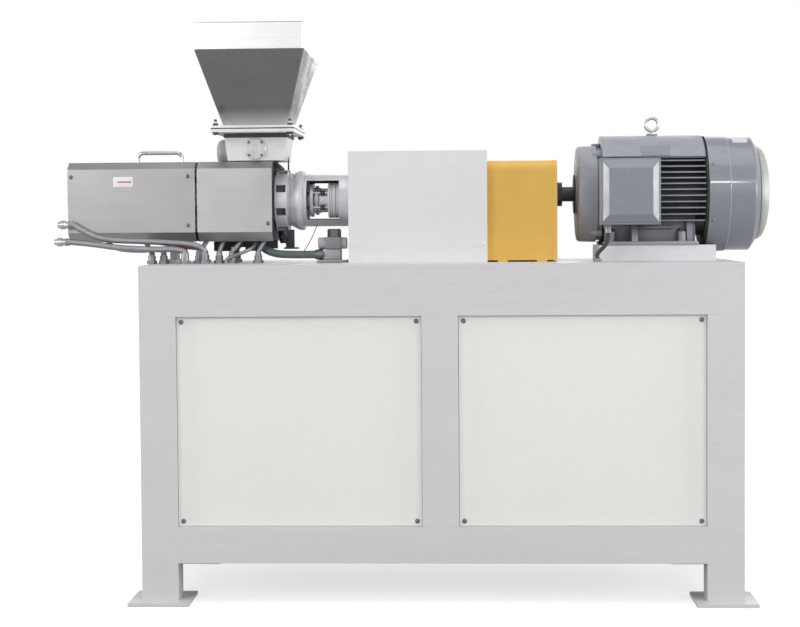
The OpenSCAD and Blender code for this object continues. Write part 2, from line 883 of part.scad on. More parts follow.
// Turned end shields: the dished one at the shaft end and the flat one under the cowl
module motor_end_shields() {
  r = bell_d / 2;
  color(motor_paint) {
    turned(x_motor, motor_z, [
      [motor_shaft_d / 2 + lap, 0], [boss_r, 0], [boss_r, bell_dish], [r - bell_dish * 0.5, bell_dish],
      [r, bell_dish * 1.6], [r, bell_len - bell_wall], [r - bell_wall * 0.4, bell_len - bell_wall],
      [r - bell_wall * 0.4, bell_len], [r - bell_wall * 1.6, bell_len], [r - bell_wall * 1.6,
        bell_dish * 2],
      [boss_r, bell_dish * 1.6], [boss_r, bell_wall + bearing_len], [bearing_r + fit,
        bell_wall + bearing_len],
      [bearing_r + fit, bell_wall], [motor_shaft_d / 2 + lap, bell_wall]]);
    turned(x_frame1, motor_z, [
      [bearing_r + fit, 0], [core_r, 0], [core_r, bell_wall], [boss_r, bell_wall], [boss_r,
        bearing_len + cap_t],
      [bearing_r / 2 + cap_t, bearing_len + cap_t], [bearing_r / 2 + cap_t, bearing_len],
        [bearing_r + fit, bearing_len]]);
    for (a = [45 : 90 : 315]) translate([0, 0, motor_z]) rotate([a, 0, 0])
      bar_x(x_frame0 - bell_wall * 2, x_frame0, bell_wall, 0, bell_d / 2 - bell_wall * 0.4);
  }
}

// Two bearing rings, one in each end shield
module motor_bearings() {
  color(steel) {
    ring_x(x_motor + bell_wall, x_motor + bell_wall + bearing_len, bearing_r, journal_r + bearing_fit, 0,
      motor_z);
    ring_x(x_frame1, x_frame1 + bearing_len, bearing_r, rear_journal_r + bearing_fit, 0, motor_z);
  }
}

// Stator: the laminated ring with the two winding heads beside it
module stator() {
  color(bronze) {
    ring_x(x_stator, x_stator + stator_len, stator_r, stator_bore, 0, motor_z);
    for (x = [x_stator - winding_len, x_stator + stator_len])
      ring_x(x, x + winding_len, stator_r - winding_wall, stator_bore + winding_wall, 0, motor_z);
  }
}

// Rotor with its stepped shaft
module motor_rotor() {
  color(dark) {
    bar_x(x_hub1 - hub_grip, x_motor - fit, motor_shaft_d / 2, 0, motor_z);
    bar_x(x_motor - fit, x_motor + bell_wall + bearing_len, journal_r, 0, motor_z);
    bar_x(x_motor + bell_wall + bearing_len, x_stator, rotor_neck_r, 0, motor_z);
    bar_x(x_stator, x_stator + stator_len, stator_bore - air_gap, 0, motor_z);
    bar_x(x_stator + stator_len, x_frame1, rotor_neck_r, 0, motor_z);
    bar_x(x_frame1, x_fan + fan_len, rear_journal_r, 0, motor_z);
  }
}

// Fan with straight blades behind the motor
module cooling_fan() {
  color(dark) difference() {
    union() {
      bar_x(x_fan, x_fan + fan_len - cap_t, rear_journal_r + fan_disc_t * 2, 0, motor_z);
      bar_x(x_fan, x_fan + fan_disc_t, fan_r, 0, motor_z);
      for (i = [0 : fan_blades - 1]) translate([0, 0, motor_z]) rotate([i * 360 / fan_blades, 0, 0])
        span([x_fan, -blade_t / 2, rear_journal_r], [x_fan + fan_len - cap_t, blade_t / 2, fan_r]);
    }
    bar_x(x_fan - cut, x_fan + fan_len + cut, rear_journal_r + fit, 0, motor_z);
  }
}

// Fan cowl: a drum with a chamfered end, open at the grille
module fan_cowl() {
  r = cowl_d / 2;
  color(motor_paint) {
    turned(x_frame1, motor_z, [
      [fin_r, 0], [r, 0], [r, cowl_len - cowl_chamfer], [grille_r + cowl_lap, cowl_len],
        [rim_ring_r + fit, cowl_len],
      [rim_ring_r + fit, cowl_len - cowl_wall],
      [r - cowl_wall, cowl_len - cowl_chamfer - cowl_wall], [r - cowl_wall, cowl_wall], [fin_r - cowl_lap,
        cowl_wall],
      [fin_r - cowl_lap, 0]]);
    ring_x(x_frame1 + cowl_len * 0.4, x_frame1 + cowl_len * 0.4 + cowl_wall, r + cowl_wall / 2,
      r - cowl_wall / 2, 0, motor_z);
  }
}

// Domed wire grille: rings on a cap, carried by flat arched ribs
module fan_grille() {
  color(steel) translate([x_cowl1 + dome_h - cap_r, 0, motor_z]) {
    for (i = [1 : grille_ring_count]) let(a = cap_angle * i / grille_ring_count, x = dome_in * cos(a),
      r = dome_in * sin(a))
      ring_x(x, x + 2 * wire_r, r, r - 2 * wire_r);
    bar_x(dome_in, cap_r, wire_r * 8);
    for (i = [0 : grille_rib_count / 2 - 1]) rotate([i * 360 / grille_rib_count, 0, 0]) translate([0,
      wire_r, 0])
      rotate([90, 0, 0]) linear_extrude(2 * wire_r) polygon(concat(arch(cap_r - 2 * wire_r, 1),
        arch(dome_in - 2 * wire_r, -1)));
  }
}

// Points of an arch of the dome at a radius, from edge to edge
function arch(r, dir) = [for (i = [-6 : 6]) r * [cos(cap_angle * i / 6), dir * sin(cap_angle * i / 6)]];

// Terminal box, open at its front
module terminal_box() {
  color(motor_paint) difference() {
    span([tbox_x0, tbox_y, motor_z + tbox_up - tbox_h], [tbox_x0 + tbox_l, tbox_neck_y, motor_z + tbox_up]);
    span([tbox_x0 + tbox_wall, tbox_y - cut, motor_z + tbox_up - tbox_h + tbox_wall],
      [tbox_x0 + tbox_l - tbox_wall, tbox_neck_y - tbox_wall, motor_z + tbox_up - tbox_wall]);
    bar_z(motor_z + tbox_up - tbox_h - cut, motor_z + tbox_up - tbox_h + tbox_wall + cut, gland_r,
      cable_x, cable_y);
  }
}

// Terminal box lid: a raised pad with slanting sides and round corners
module terminal_lid() {
  z0 = motor_z + tbox_up - tbox_h;
  color(motor_paint) translate([tbox_x0, tbox_y, z0]) rotate([90, 0, 0]) hull() {
    for (x = [lid_r, tbox_l - lid_r], z = [lid_r, tbox_h - lid_r]) translate([x, z,
      0]) cylinder(r = lid_r, h = lid_t, $fn = 20);
    for (x = lid_x_share * tbox_l, z = lid_z_share * tbox_h) translate([x, z, 0]) cylinder(r = lid_t,
      h = lid_t + lid_rise, $fn = 20);
  }
}

// Lifting eye screwed into the top of the motor
module eye_bolt() {
  z0 = motor_z + crown_r + eye_pad_h;
  color(steel) {
    bar_z(z0 - eye_stem_d, z0 + cap_t, eye_stem_d / 2, eye_x);
    bar_z(z0, z0 + cap_t, eye_stem_d, eye_x);
    translate([eye_x, 0, z0 + cap_t + eye_ring_r + eye_wire_r - fit * 20]) rotate([90, 0, 0])
      rotate_extrude() translate([eye_ring_r, 0]) circle(r = eye_wire_r);
  }
}

// Coupling between motor and gearbox: two jawed hubs and an elastic spider
module jaws(x0, phase) {
  for (i = [0 : jaw_count - 1]) translate([x0, 0, motor_z]) rotate([phase + i * 360 / jaw_count, 0, 0])
    rotate([90, 0, 90]) linear_extrude(jaw_len + cut) jaw_outline();
}

// Sector between two radii that makes one jaw
module jaw_outline() {
  reach = hub_d * [cos(jaw_angle / 2), sin(jaw_angle / 2)];
  difference() {
    intersection() {
      circle(d = hub_d - lap);
      polygon([[0, 0], [reach[0], -reach[1]], reach]);
    }
    circle(r = jaw_in_r);
  }
}

module motor_hub() {
  color(dark) {
    ring_x(x_jaw + jaw_len, x_hub1, hub_d / 2, motor_shaft_d / 2 + fit, 0, motor_z);
    jaws(x_jaw, 0);
  }
}

module gearbox_hub() {
  color(dark) {
    ring_x(x_jaw - hub_len + jaw_len, x_jaw, hub_d / 2, input_r + fit, 0, motor_z);
    jaws(x_jaw - cut, 60);
  }
}

// Elastic spider: a ring inside the jaws with an arm between each two of them
module coupling_spider() {
  x0 = x_jaw + spider_gap;
  x1 = x_jaw + jaw_len - spider_gap;
  color("firebrick") difference() {
    union() {
      bar_x(x0, x1, jaw_in_r - spider_gap, 0, motor_z);
      for (i = [0 : 2 * jaw_count - 1]) translate([0, 0, motor_z]) rotate([i * 180 / jaw_count, 0, 0])
        span([x0, -spider_arm_t / 2, 0], [x1, spider_arm_t / 2, hub_d / 2 - lap]);
    }
    bar_x(x0 - cut, x1 + cut, spider_bore_r, 0, motor_z);
  }
}

// Coupling guard: bent sheet with rounded upper corners, a shaft hole at each end
module guard_section(inset) {
  half = guard_w / 2 - inset;
  top = motor_z + guard_rise - inset;
  hull() {
    translate([-half, table_h + guard_gap]) square([2 * half, guard_bend]);
    for (s = [-1, 1]) translate([s * (half - guard_bend), top - guard_bend]) circle(r = guard_bend);
  }
}

module coupling_guard() {
  color(yellow) {
    difference() {
      translate([x_cover1 + fit, 0, 0]) rotate([90, 0, 90]) linear_extrude(guard_len - fit)
        guard_section(0);
      translate([x_cover1 + guard_t, 0, -cut]) rotate([90, 0,
        90]) linear_extrude(guard_len - 2 * guard_t) guard_section(guard_t);
      bar_x(x_cover1 - cut, x_guard1 + cut, guard_hole_r, 0, motor_z);
    }
    for (x = [x_cover1 + tab_w, x_guard1 - tab_w * 2], s = [-1, 1])
      span([x, min(s * guard_w / 2, s * (guard_w / 2 - tab_w)), table_h],
        [x + tab_w, max(s * guard_w / 2, s * (guard_w / 2 - tab_w)), table_h + guard_gap]);
  }
}

// Gearbox cover: a sheet box with openings for the lantern and the input shaft
module gearbox_cover() {
  z1 = motor_z + cover_rise;
  color(white) difference() {
    slab(x_cover0, x_cover1, cover_w / 2, bed_z, z1);
    slab(x_cover0 + cover_t, x_cover1 - cover_t, cover_w / 2 - cover_t, bed_z - cut, z1 - cover_t);
    bar_x(x_cover0 - cut, x_house, lantern_d / 2 + cover_gap, 0, screw_z);
    bar_x(x_cover1 - cover_t - cut, x_cover1 + cut, hub_d / 2 + cover_gap, 0, motor_z);
  }
}

// Gear case: a cast box on its bed, with the nose that carries the output shafts
module gearbox_housing() {
  color(cast) difference() {
    union() {
      slab(x_cover0, x_cover1, cover_w / 2, table_h, bed_z);
      slab(x_house, case_end, case_w / 2, bed_z, case_top);
      bar_x(x_house - nose_len, x_house, nose_r, 0, screw_z);
    }
    slab(x_house + case_wall, x_web_a, case_w / 2 - case_wall, bed_z, case_top + cut);
    slab(x_web_a + web_wall, x_web_b, case_w / 2 - case_wall, bed_z, case_top + cut);
    slab(x_web_b + web_wall, case_end - case_wall, case_w / 2 - case_wall, bed_z, case_top + cut);
    for (s = [-1, 1])
      bar_x(x_house - nose_len - cut, x_web_a + web_wall + cut, bush_r + sleeve_gap, s * screw_cd / 2,
        screw_z);
    bar_x(x_house + cut, case_end - cut, lay_bush_r + fit, 0, lay_zc);
    bar_x(x_web_b - cut, case_end + cut, in_bush_r + fit, 0, motor_z);
  }
}

module gearbox_lid() {
  color(cast) slab(x_house, case_end, case_w / 2, case_top, case_top + case_lid_t);
}

// Bushes of the gear case, one pair for every shaft
module gearbox_bearings() {
  x_nose = x_house - nose_len + sleeve_len;
  color(bronze) {
    for (x = [x_nose, x_web_a - (bush_len - web_wall) / 2], s = [-1, 1])
      ring_x(x, x + bush_len, bush_r + sleeve_gap - fit, shank_d / 2 + bearing_fit, s * screw_cd / 2,
        screw_z);
    for (x = [x_house + cut, case_end - case_wall])
      ring_x(x, x + bush_len, lay_bush_r, lay_r + bearing_fit, 0, lay_zc);
    ring_x(x_web_b, x_web_b + web_wall, in_bush_r, lay_r + bearing_fit, 0, motor_z);
    ring_x(case_end - case_wall, case_end - cut, in_bush_r, input_r + bearing_fit, 0, motor_z);
  }
}

// Involute function of the angle between a tooth's base circle and radius r, in degrees
function involute(rb, r) = let(a = acos(min(1, rb / r))) tan(a) * 180 / PI - a;

// Half of the angle that a tooth fills at radius r, less the running slack
function tooth_half(m, z, r) =
  let(rp = m * z / 2, rb = rp * cos(pressure_angle))
  90 / z - tooth_slack / (2 * rp) * 180 / PI + involute(rb, rp) - involute(rb, max(r, rb));

// Radii at which the tooth flank is drawn, from root to tip
function flank_radii(m, z) =
  let(rp = m * z / 2, rb = rp * cos(pressure_angle), rf = rp - dedendum_share * m,
    ra = rp + addendum_share * m)
  [rf, max(rf, rb), rp, (rp + ra) / 2, ra];

// Outline of a spur gear whose first tooth points along the phase angle
function gear_points(m, z, phase) = [
  for (i = [0 : z - 1], side = [-1, 1]) let(radii = flank_radii(m, z), n = len(radii))
    for (k = [0 : n - 1]) let(r = radii[side < 0 ? k : n - 1 - k],
      a = phase + i * 360 / z + side * tooth_half(m, z, r))
      r * [cos(a), sin(a)]];

// Spur gear along X
module gear(x0, x1, m, z, phase, y, zc) {
  translate([x0, y, zc]) rotate([90, 0, 90]) linear_extrude(x1 - x0) polygon(gear_points(m, z, phase));
}

// Input shaft with its pinion
module input_shaft() {
  color(steel) {
    bar_x(x_web_b - lap, x_gear_in + cut, lay_r, 0, motor_z);
    gear(x_gear_in, x_gear_in + gear_len, input_mod, input_z, -90, 0, motor_z);
    bar_x(x_gear_in + gear_len - cut, x_gear_in + gear_len + gear_gap * 2, lay_r, 0, motor_z);
    bar_x(x_gear_in + gear_len + gear_gap, x_jaw - jaw_len, input_r, 0, motor_z);
  }
}

// Layshaft with the large gear and the two gears that drive the output shafts
module layshaft() {
  color(steel) {
    bar_x(x_house + lap, case_end - lap * 2, lay_r, 0, lay_zc);
    gear(x_gear_in + lap, x_gear_in + gear_len - lap, input_mod, lay_z, 90 + 180 / lay_z, 0, lay_zc);
    gear(x_gear_a + lap, x_gear_a + gear_len - lap, output_mod, split_z, 180 - split_angle, 0, lay_zc);
    gear(x_gear_b + lap, x_gear_b + gear_len - lap, output_mod, split_z, split_angle, 0, lay_zc);
  }
}

// Output shaft with its pinion and the sleeve that holds the screw's shank
module output_shaft(s, x_gear, phase) {
  y = s * screw_cd / 2;
  x_end = x_sleeve + sleeve_len;
  color(steel) {
    difference() {
      bar_x(x_sleeve, x_end, bush_r - sleeve_gap / 2, y, screw_z);
      bar_x(x_sleeve - cut, x_end - bush_len / 2, shank_d / 2 + fit, y, screw_z);
    }
    bar_x(x_end, x_web_a + web_wall, shank_d / 2, y, screw_z);
    gear(x_gear, x_gear + gear_len, output_mod, pinion_z, phase, y, screw_z);
  }
}

module output_shaft_a() {
  output_shaft(-1, x_gear_a, 360 - split_angle + 180 / pinion_z);
}

module output_shaft_b() {
  output_shaft(1, x_gear_b, 180 + split_angle + 180 / pinion_z);
}

// Screw profile: radius of the self-wiping two-lobed outline at an angle from its tip
function lobe_r(a) =
  let(q = 90 - abs(90 - (a % 180)), e = screw_r * cos(q + 90 + tip_half))
  q <= tip_half ? screw_r - screw_gap
  : q >= 90 - tip_half ? root_r - screw_gap
  : e + sqrt(pow(e, 2) - pow(screw_r, 2) + pow(screw_cd - screw_gap, 2));

// Lengths of the screw's sections, from the die end, as shares of the flighted length
function share_sum(list, n) = n == 0 ? 0 : list[n - 1] + share_sum(list, n - 1);
function section_turn(i)
  = section_leads[i] == 0 ? disc_turn * disc_count : 360 * section_shares[i] * flight_len / section_leads[i];
function start_angle(i) = i == 0 ? 0 : start_angle(i - 1) + section_turn(i - 1);

// One section of flights with a steady lead
module flights(run, lead) {
  linear_extrude(height = run, twist = -360 * run / lead, slices = ceil(turn_slices * run / lead),
    segments = len(lobe_points)) polygon(lobe_points);
}

// One kneading block of straight discs, each turned from the last
module kneading_block(len) {
  for (i = [0 : disc_count - 1]) translate([0, 0, i * len / disc_count]) rotate([0, 0, i * disc_turn])
    linear_extrude(len / disc_count - fit) polygon(lobe_points);
}

// One whole screw: tip, flights, kneading blocks and shank
module extruder_screw(s, phase) {
  y = s * screw_cd / 2;
  color(steel) {
    translate([x_flight - fit, y, screw_z]) rotate([0, -90, 0]) cylinder(r1 = root_r - screw_gap,
      r2 = root_r / 3, h = tip_len);
    for (i = [0 : 4]) translate([section_x[i], y, screw_z]) rotate([90, 0, 90]) rotate([0, 0,
      phase + start_angle(i)]) {
      if (section_leads[i] == 0) kneading_block(section_shares[i] * flight_len);
      else flights(section_shares[i] * flight_len - fit, section_leads[i]);
    }
    bar_x(x_ring0 - seat, x_sleeve + sleeve_len - bush_len / 2 - fit, shank_d / 2, y, screw_z);
  }
}

module screw_a() {
  extruder_screw(-1, 0);
}

module screw_b() {
  extruder_screw(1, 90);
}

// Two overlapping bores for the screws
module screw_bores(x0, x1) {
  for (s = [-1, 1]) bar_x(x0, x1, screw_r + bore_gap, s * screw_cd / 2, screw_z);
}

// Barrel flange with a circle of bolt holes
module barrel_flange(x0) {
  difference() {
    bar_x(x0, x0 + barrel_flange_t, barrel_flange_d / 2, 0, screw_z);
    for (i = [0 : die_bolts - 1]) translate([0, 0, screw_z]) rotate([(i + 0.5) * 360 / die_bolts, 0, 0])
      bar_x(x0 - cut, x0 + barrel_flange_t + cut, die_hole_d / 2, 0, die_pcd / 2);
  }
}

// Heated barrel at the die end
module main_barrel() {
  color(steel) difference() {
    union() {
      barrel_flange(x_barrel0);
      slab(x_barrel0 + barrel_flange_t, x_barrel1 - barrel_flange_t, barrel_w / 2, screw_z - barrel_w / 2,
        screw_z + barrel_w / 2);
      barrel_flange(x_barrel1 - barrel_flange_t);
    }
    screw_bores(x_barrel0 - cut, x_barrel1 + cut);
  }
}

// Feed barrel with the opening under the hopper
module feed_barrel() {
  color(steel) difference() {
    union() {
      barrel_flange(x_barrel1);
      slab(x_barrel1 + barrel_flange_t, x_ring0, barrel_w / 2, screw_z - barrel_w / 2,
        screw_z + barrel_w / 2);
    }
    screw_bores(x_barrel1 - cut, x_ring0 + cut);
    slab(hopper_x - throat_open_l / 2, hopper_x + throat_open_l / 2, throat_open_w / 2, screw_z,
      screw_z + barrel_w);
  }
}

// Cast heater plates above and below the barrel, with their terminal caps underneath
module barrel_heaters() {
  color(cast) for (x = heater_places) {
    for (z = [screw_z + barrel_w / 2 + fit, screw_z - barrel_w / 2 - heater_t - fit])
      slab(x, x + heater_len, barrel_w / 2, z, z + heater_t);
    slab(x + heater_len * 0.3, x + heater_len * 0.7, barrel_w / 3,
      screw_z - barrel_w / 2 - heater_t - cap_drop,
      screw_z - barrel_w / 2 - heater_t);
  }
}

// Post that carries the barrel on the table
module barrel_support() {
  color(paint) {
    slab(support_x - support_t / 2, support_x + support_t / 2, support_w / 2, table_h + plate_t,
      screw_z - barrel_w / 2);
    slab(support_x - support_t * 2, support_x + support_t * 2, support_w * 0.7, table_h, table_h + plate_t);
  }
}

// Slotted ring between the barrel and the lantern, with its bolt pockets
module adapter_ring() {
  color(steel) difference() {
    bar_x(x_ring0, x_ring1, ring_d / 2, 0, screw_z);
    for (i = [0 : ring_pockets - 1]) pocket_place(i)
      span([x_ring0 + pocket_inset, -pocket_w / 2, ring_d / 2 - pocket_depth], [x_ring1 - pocket_inset,
        pocket_w / 2, ring_d]);
    for (i = [0 : ring_pockets - 1]) pocket_place(i)
      bar_x(x_ring0 - cut, x_ring1 + cut, pocket_bolt_d / 2 + fit, 0, ring_d / 2 - pocket_depth / 2);
    for (s = [-1, 1]) bar_x(x_ring0 - cut, x_ring1 + cut, shank_d / 2 + seat * 2, s * screw_cd / 2,
      screw_z);
  }
}

// Turns its children to the pocket with the given number
module pocket_place(i) {
  translate([0, 0, screw_z]) rotate([(i + 0.5) * 360 / ring_pockets, 0, 0]) children();
}

// Lantern: flanged tube with a window on each side
module lantern() {
  color(steel) difference() {
    union() {
      bar_x(x_ring1, x_ring1 + lantern_flange_len, lantern_flange_d / 2, 0, screw_z);
      bar_x(x_ring1, x_house, lantern_d / 2, 0, screw_z);
    }
    bar_x(x_ring1 - cut, x_house + cut, lantern_d / 2 - lantern_wall, 0, screw_z);
    slab(x_ring1 + window_x, x_ring1 + window_x + window_len, lantern_d, screw_z - window_h / 2,
      screw_z + window_h / 2);
    for (i = [0 : ring_pockets - 1]) pocket_place(i)
      bar_x(x_ring1 - cut, x_ring1 + bolt_bite, pocket_bolt_d / 2 + fit, 0, ring_d / 2 - pocket_depth / 2);
  }
}

// Bolts in the ring's pockets and in the motor's feet
module machine_bolts() {
  color(dark) {
    for (i = [0 : ring_pockets - 1]) pocket_place(i) {
      translate([x_ring1 - pocket_inset - pocket_bolt_d * head_share, 0, ring_d / 2 - pocket_depth / 2])
        rotate([0, 90, 0]) hex(pocket_bolt_d * 1.6, pocket_bolt_d * head_share);
      bar_x(x_ring1 - pocket_inset - cut, x_ring1 + bolt_bite - cut, pocket_bolt_d / 2, 0,
        ring_d / 2 - pocket_depth / 2);
    }
    foot_bolt_places() {
      translate([0, 0, bed_z + foot_rail_t]) hex(foot_bolt_d * 1.6, foot_bolt_d * head_share);
      bar_z(bed_z - bed_wall, bed_z + foot_rail_t + cut, foot_bolt_d / 2);
    }
  }
}

// Packing gland on the screw shanks, seen through the lantern windows
module packing_gland() {
  color(steel) difference() {
    union() {
      bar_x(x_ring1, x_ring1 + gland_body_len, gland_body_d / 2, 0, screw_z);
      bar_x(x_ring1 + gland_body_len, x_ring1 + gland_body_len + gland_plate_t, gland_plate_d / 2, 0,
        screw_z);
      for (a = [30, 150, 210, 330]) translate([0, 0, screw_z]) rotate([a, 0, 0])
        translate([x_ring1 + gland_body_len - gland_plate_t, 0,
          gland_plate_d / 2 - gland_plate_t]) rotate([0, 90, 0])
          hex(pocket_bolt_d * 1.6, gland_plate_t * 2.6);
    }
    for (s = [-1, 1])
      bar_x(x_ring1 - cut, x_ring1 + gland_body_len + gland_plate_t * 2, shank_d / 2 + seat * 2,
        s * screw_cd / 2, screw_z);
  }
}

// Cross section of a heat shield: upright sides, slanting edges, open underneath
module shield_shape(inset, drop) {
  h = shield_w / 2 - inset;
  b = shield_bevel - inset * 0.4;
  t = screw_z + shield_up - inset;
  r = bevel_rise - inset * 0.4;
  z = screw_z - shield_down;
  polygon([[b - h, z - drop], [b - h, z], [-h, z + b], [-h, t - r], [b - h, t], [h - b, t], [h, t - r],
    [h, z + b],
    [h - b, z], [h - b, z - drop]]);
}

// Shield shell between two stations
module shield_shell(x0, x1) {
  translate([x0, 0, 0]) rotate([90, 0, 90]) linear_extrude(x1 - x0) difference() {
    shield_shape(0, 0);
    shield_shape(shield_t, cut);
  }
}

// End plate of a shield, set a little way in
module shield_end(x0) {
  translate([x0, 0, 0]) rotate([90, 0, 90]) linear_extrude(shield_t) shield_shape(shield_t / 2, 0);
}

// Heat shield that lifts off the die end of the barrel
module front_shield() {
  color(steel) difference() {
    union() {
      shield_shell(x_die, x_split0);
      shield_end(x_die + end_inset);
      shield_end(x_split0 - end_inset - shield_t);
    }
    bar_x(x_die - cut, x_split0 + cut, barrel_flange_d / 2 + seat, 0, screw_z);
    slab(x_die + end_inset - cut, x_split0 - end_inset + cut, barrel_flange_d / 2 + seat,
      screw_z - shield_down - cut, screw_z);
  }
}

// Fixed heat shield under the hopper, cut out round the throat's neck
module rear_shield() {
  color(steel) difference() {
    union() {
      shield_shell(x_split1, x_shield1);
      shield_end(x_split1 + end_inset);
      shield_end(x_shield1 - end_inset - shield_t);
    }
    bar_x(x_split1 - cut, x_split1 + end_inset * 3, barrel_flange_d / 2 + seat, 0, screw_z);
    slab(x_split1 + end_inset - cut, x_split1 + end_inset * 3, barrel_flange_d / 2 + seat,
      screw_z - shield_down - cut, screw_z);
    slab(x_shield1 - end_inset * 3, x_shield1 - end_inset + cut, barrel_w / 2 + seat,
      screw_z - shield_down - cut,
      screw_z + barrel_w / 2 + seat);
    slab(hopper_x - neck_l / 2 - seat, hopper_x + neck_l / 2 + seat, neck_w / 2 + seat, screw_z,
      screw_z + shield_up + cut);
  }
}

// Bar handle on the lifting shield
module shield_handle() {
  z0 = screw_z + shield_up;
  z1 = z0 + handle_h - handle_d / 2;
  r = handle_d / 2;
  color(steel) {
    for (s = [-1, 1]) {
      bar_z(z0, z1 - handle_bend, r, handle_x + s * handle_span / 2);
      translate([handle_x + s * (handle_span / 2 - handle_bend), 0, z1 - handle_bend]) rotate([90, 0, 0])
        rotate([0, 0, s > 0 ? 0 : 90]) rotate_extrude(angle = 90) translate([handle_bend, 0]) circle(r = r);
    }
    bar_x(handle_x - handle_span / 2 + handle_bend, handle_x + handle_span / 2 - handle_bend, r, 0, z1);
  }
}

// Frustum with a rectangular section, between two levels
module frustum(l0, w0, z0, l1, w1, z1) {
  hull() {
    translate([-l0 / 2, -w0 / 2, z0]) cube([l0, w0, fit]);
    translate([-l1 / 2, -w1 / 2, z1 - fit]) cube([l1, w1, fit]);
  }
}

// Rectangular plate ring
module frame_plate(l, w, z0, t, hole_l, hole_w) {
  difference() {
    translate([-l / 2, -w / 2, z0]) cube([l, w, t]);
    translate([-hole_l / 2, -hole_w / 2, z0 - cut]) cube([hole_l, hole_w, t + 2 * cut]);
    corners(hopper_bolt_x, hopper_bolt_y) bar_z(z0 - cut, z0 + t + cut, hopper_bolt_d / 2 + fit);
  }
}

// Feed throat: tapering box on a neck, with a bore for the agitator shaft
module feed_throat() {
  foot_l = cone_l * throat_foot_share;
  color(steel) translate([hopper_x, 0, 0]) difference() {
    union() {
      frustum(foot_l, 2 * throat_half_w, throat_z0, cone_l, 2 * throat_half_w, throat_z1);
      frame_plate(hopper_flange_l, hopper_flange_w, throat_z1, throat_flange_t, inner_l, inner_w);
      translate([-neck_l / 2, -neck_w / 2, screw_z + barrel_w / 2 + fit])
        cube([neck_l, neck_w, throat_z0 - screw_z - barrel_w / 2 + cut]);
    }
    frustum(foot_l - 2 * throat_wall, 2 * (throat_half_w - throat_wall), throat_z0 + throat_wall,
      cone_l - 2 * throat_wall, 2 * (throat_half_w - throat_wall), throat_z1 + cut);
    translate([-throat_open_l / 2, -throat_open_w / 2, screw_z]) cube([throat_open_l, throat_open_w,
      throat_z1 - screw_z]);
    bar_y(-throat_half_w - cut, throat_half_w + cut, agitator_d / 2 + bearing_fit, 0,
      throat_z0 + agitator_rise);
  }
}

// Round bearing cover on the front of the throat, held by four screws
module throat_cover() {
  y1 = -throat_half_w;
  z = throat_z0 + agitator_rise;
  color(steel) {
    translate([hopper_x, y1, z]) rotate([90, 0, 0]) rotate_extrude() polygon([
      [0, agitator_d / 2], [agitator_d / 2 + seat, agitator_d / 2], [agitator_d / 2 + seat, 0],
        [throat_cover_d / 2, 0],
      [throat_cover_d / 2, throat_cover_t - lap], [throat_cover_d / 2 - lap, throat_cover_t], [0,
        throat_cover_t]]);
    for (a = [45 : 90 : 315]) translate([hopper_x, y1 - throat_cover_t, z]) rotate([0, a, 0])
      bar_y(-cover_screw_d / 2, 0, cover_screw_d / 2, throat_cover_d * 0.36, 0);
  }
}

// Agitator: cross shaft with rows of paddles
module agitator() {
  z = throat_z0 + agitator_rise;
  y0 = -throat_half_w - agitator_d / 2 + seat * 2;
  color(steel) {
    bar_y(y0, throat_half_w + drive_w / 2, agitator_d / 2, hopper_x, z);
    for (i = [0 : paddle_count - 1]) translate([hopper_x, (i - (paddle_count - 1) / 2) * paddle_d * 2.6,
      z]) rotate([0, i * 60, 0])
      bar_z(-paddle_r, paddle_r, paddle_d / 2);
  }
}

// Worm drive behind the throat, with its small motor lying towards the die end
module agitator_drive() {
  z = throat_z0 + agitator_rise;
  yc = throat_half_w + drive_w / 2;
  color(motor_paint) {
    difference() {
      span([hopper_x - drive_l / 2, throat_half_w, z - drive_l / 2], [hopper_x + drive_l / 2,
        throat_half_w + drive_w, z + drive_l / 2]);
      bar_y(throat_half_w - cut, yc + seat, agitator_d / 2 + bearing_fit, hopper_x, z);
    }
    translate([hopper_x - drive_l / 2, yc, z]) rotate([0, -90, 0]) rotate_extrude() polygon([
      [0, 0], [small_motor_r - lap, 0], [small_motor_r, lap], [small_motor_r,
        small_motor_len - small_motor_end],
      [small_motor_r - small_motor_end / 3, small_motor_len - small_motor_end / 3],
      [small_motor_r - small_motor_end, small_motor_len], [0, small_motor_len]]);
  }
}

module hopper_gasket() {
  color(dark) translate([hopper_x, 0, 0])
    frame_plate(hopper_flange_l - seat, hopper_flange_w - seat, flange_z1, gasket_t, inner_l, inner_w);
}

// Hopper: flange, cone and upright collar welded from sheet
module hopper() {
  color(steel) translate([hopper_x, 0, 0]) {
    frame_plate(hopper_flange_l, hopper_flange_w, gasket_z1, hopper_flange_t, inner_l, inner_w);
    difference() {
      frustum(cone_l, cone_w, hopper_z1, rim_l, rim_w, cone_z1);
      frustum(cone_l - 2 * hopper_t, cone_w - 2 * hopper_t, hopper_z1, rim_l - 2 * hopper_t,
        rim_w - 2 * hopper_t, cone_z1);
    }
    difference() {
      translate([-rim_l / 2, -rim_w / 2, cone_z1]) cube([rim_l, rim_w, collar_h]);
      translate([hopper_t - rim_l / 2, hopper_t - rim_w / 2, cone_z1 - cut])
        cube([rim_l - 2 * hopper_t, rim_w - 2 * hopper_t, collar_h + 2 * cut]);
    }
  }
}

// Bolts through the corners of the hopper and throat flanges
module hopper_bolts() {
  nut = hopper_bolt_d * head_share;
  color(dark) translate([hopper_x, 0, 0]) corners(hopper_bolt_x, hopper_bolt_y) {
    bar_z(throat_z1 - nut - lap, hopper_z1 + hopper_stud_h, hopper_bolt_d / 2);
    translate([0, 0, throat_z1 - nut]) hex(hopper_bolt_d * 1.6, nut);
    translate([0, 0, hopper_z1]) hex(hopper_bolt_d * 1.6, nut);
  }
}

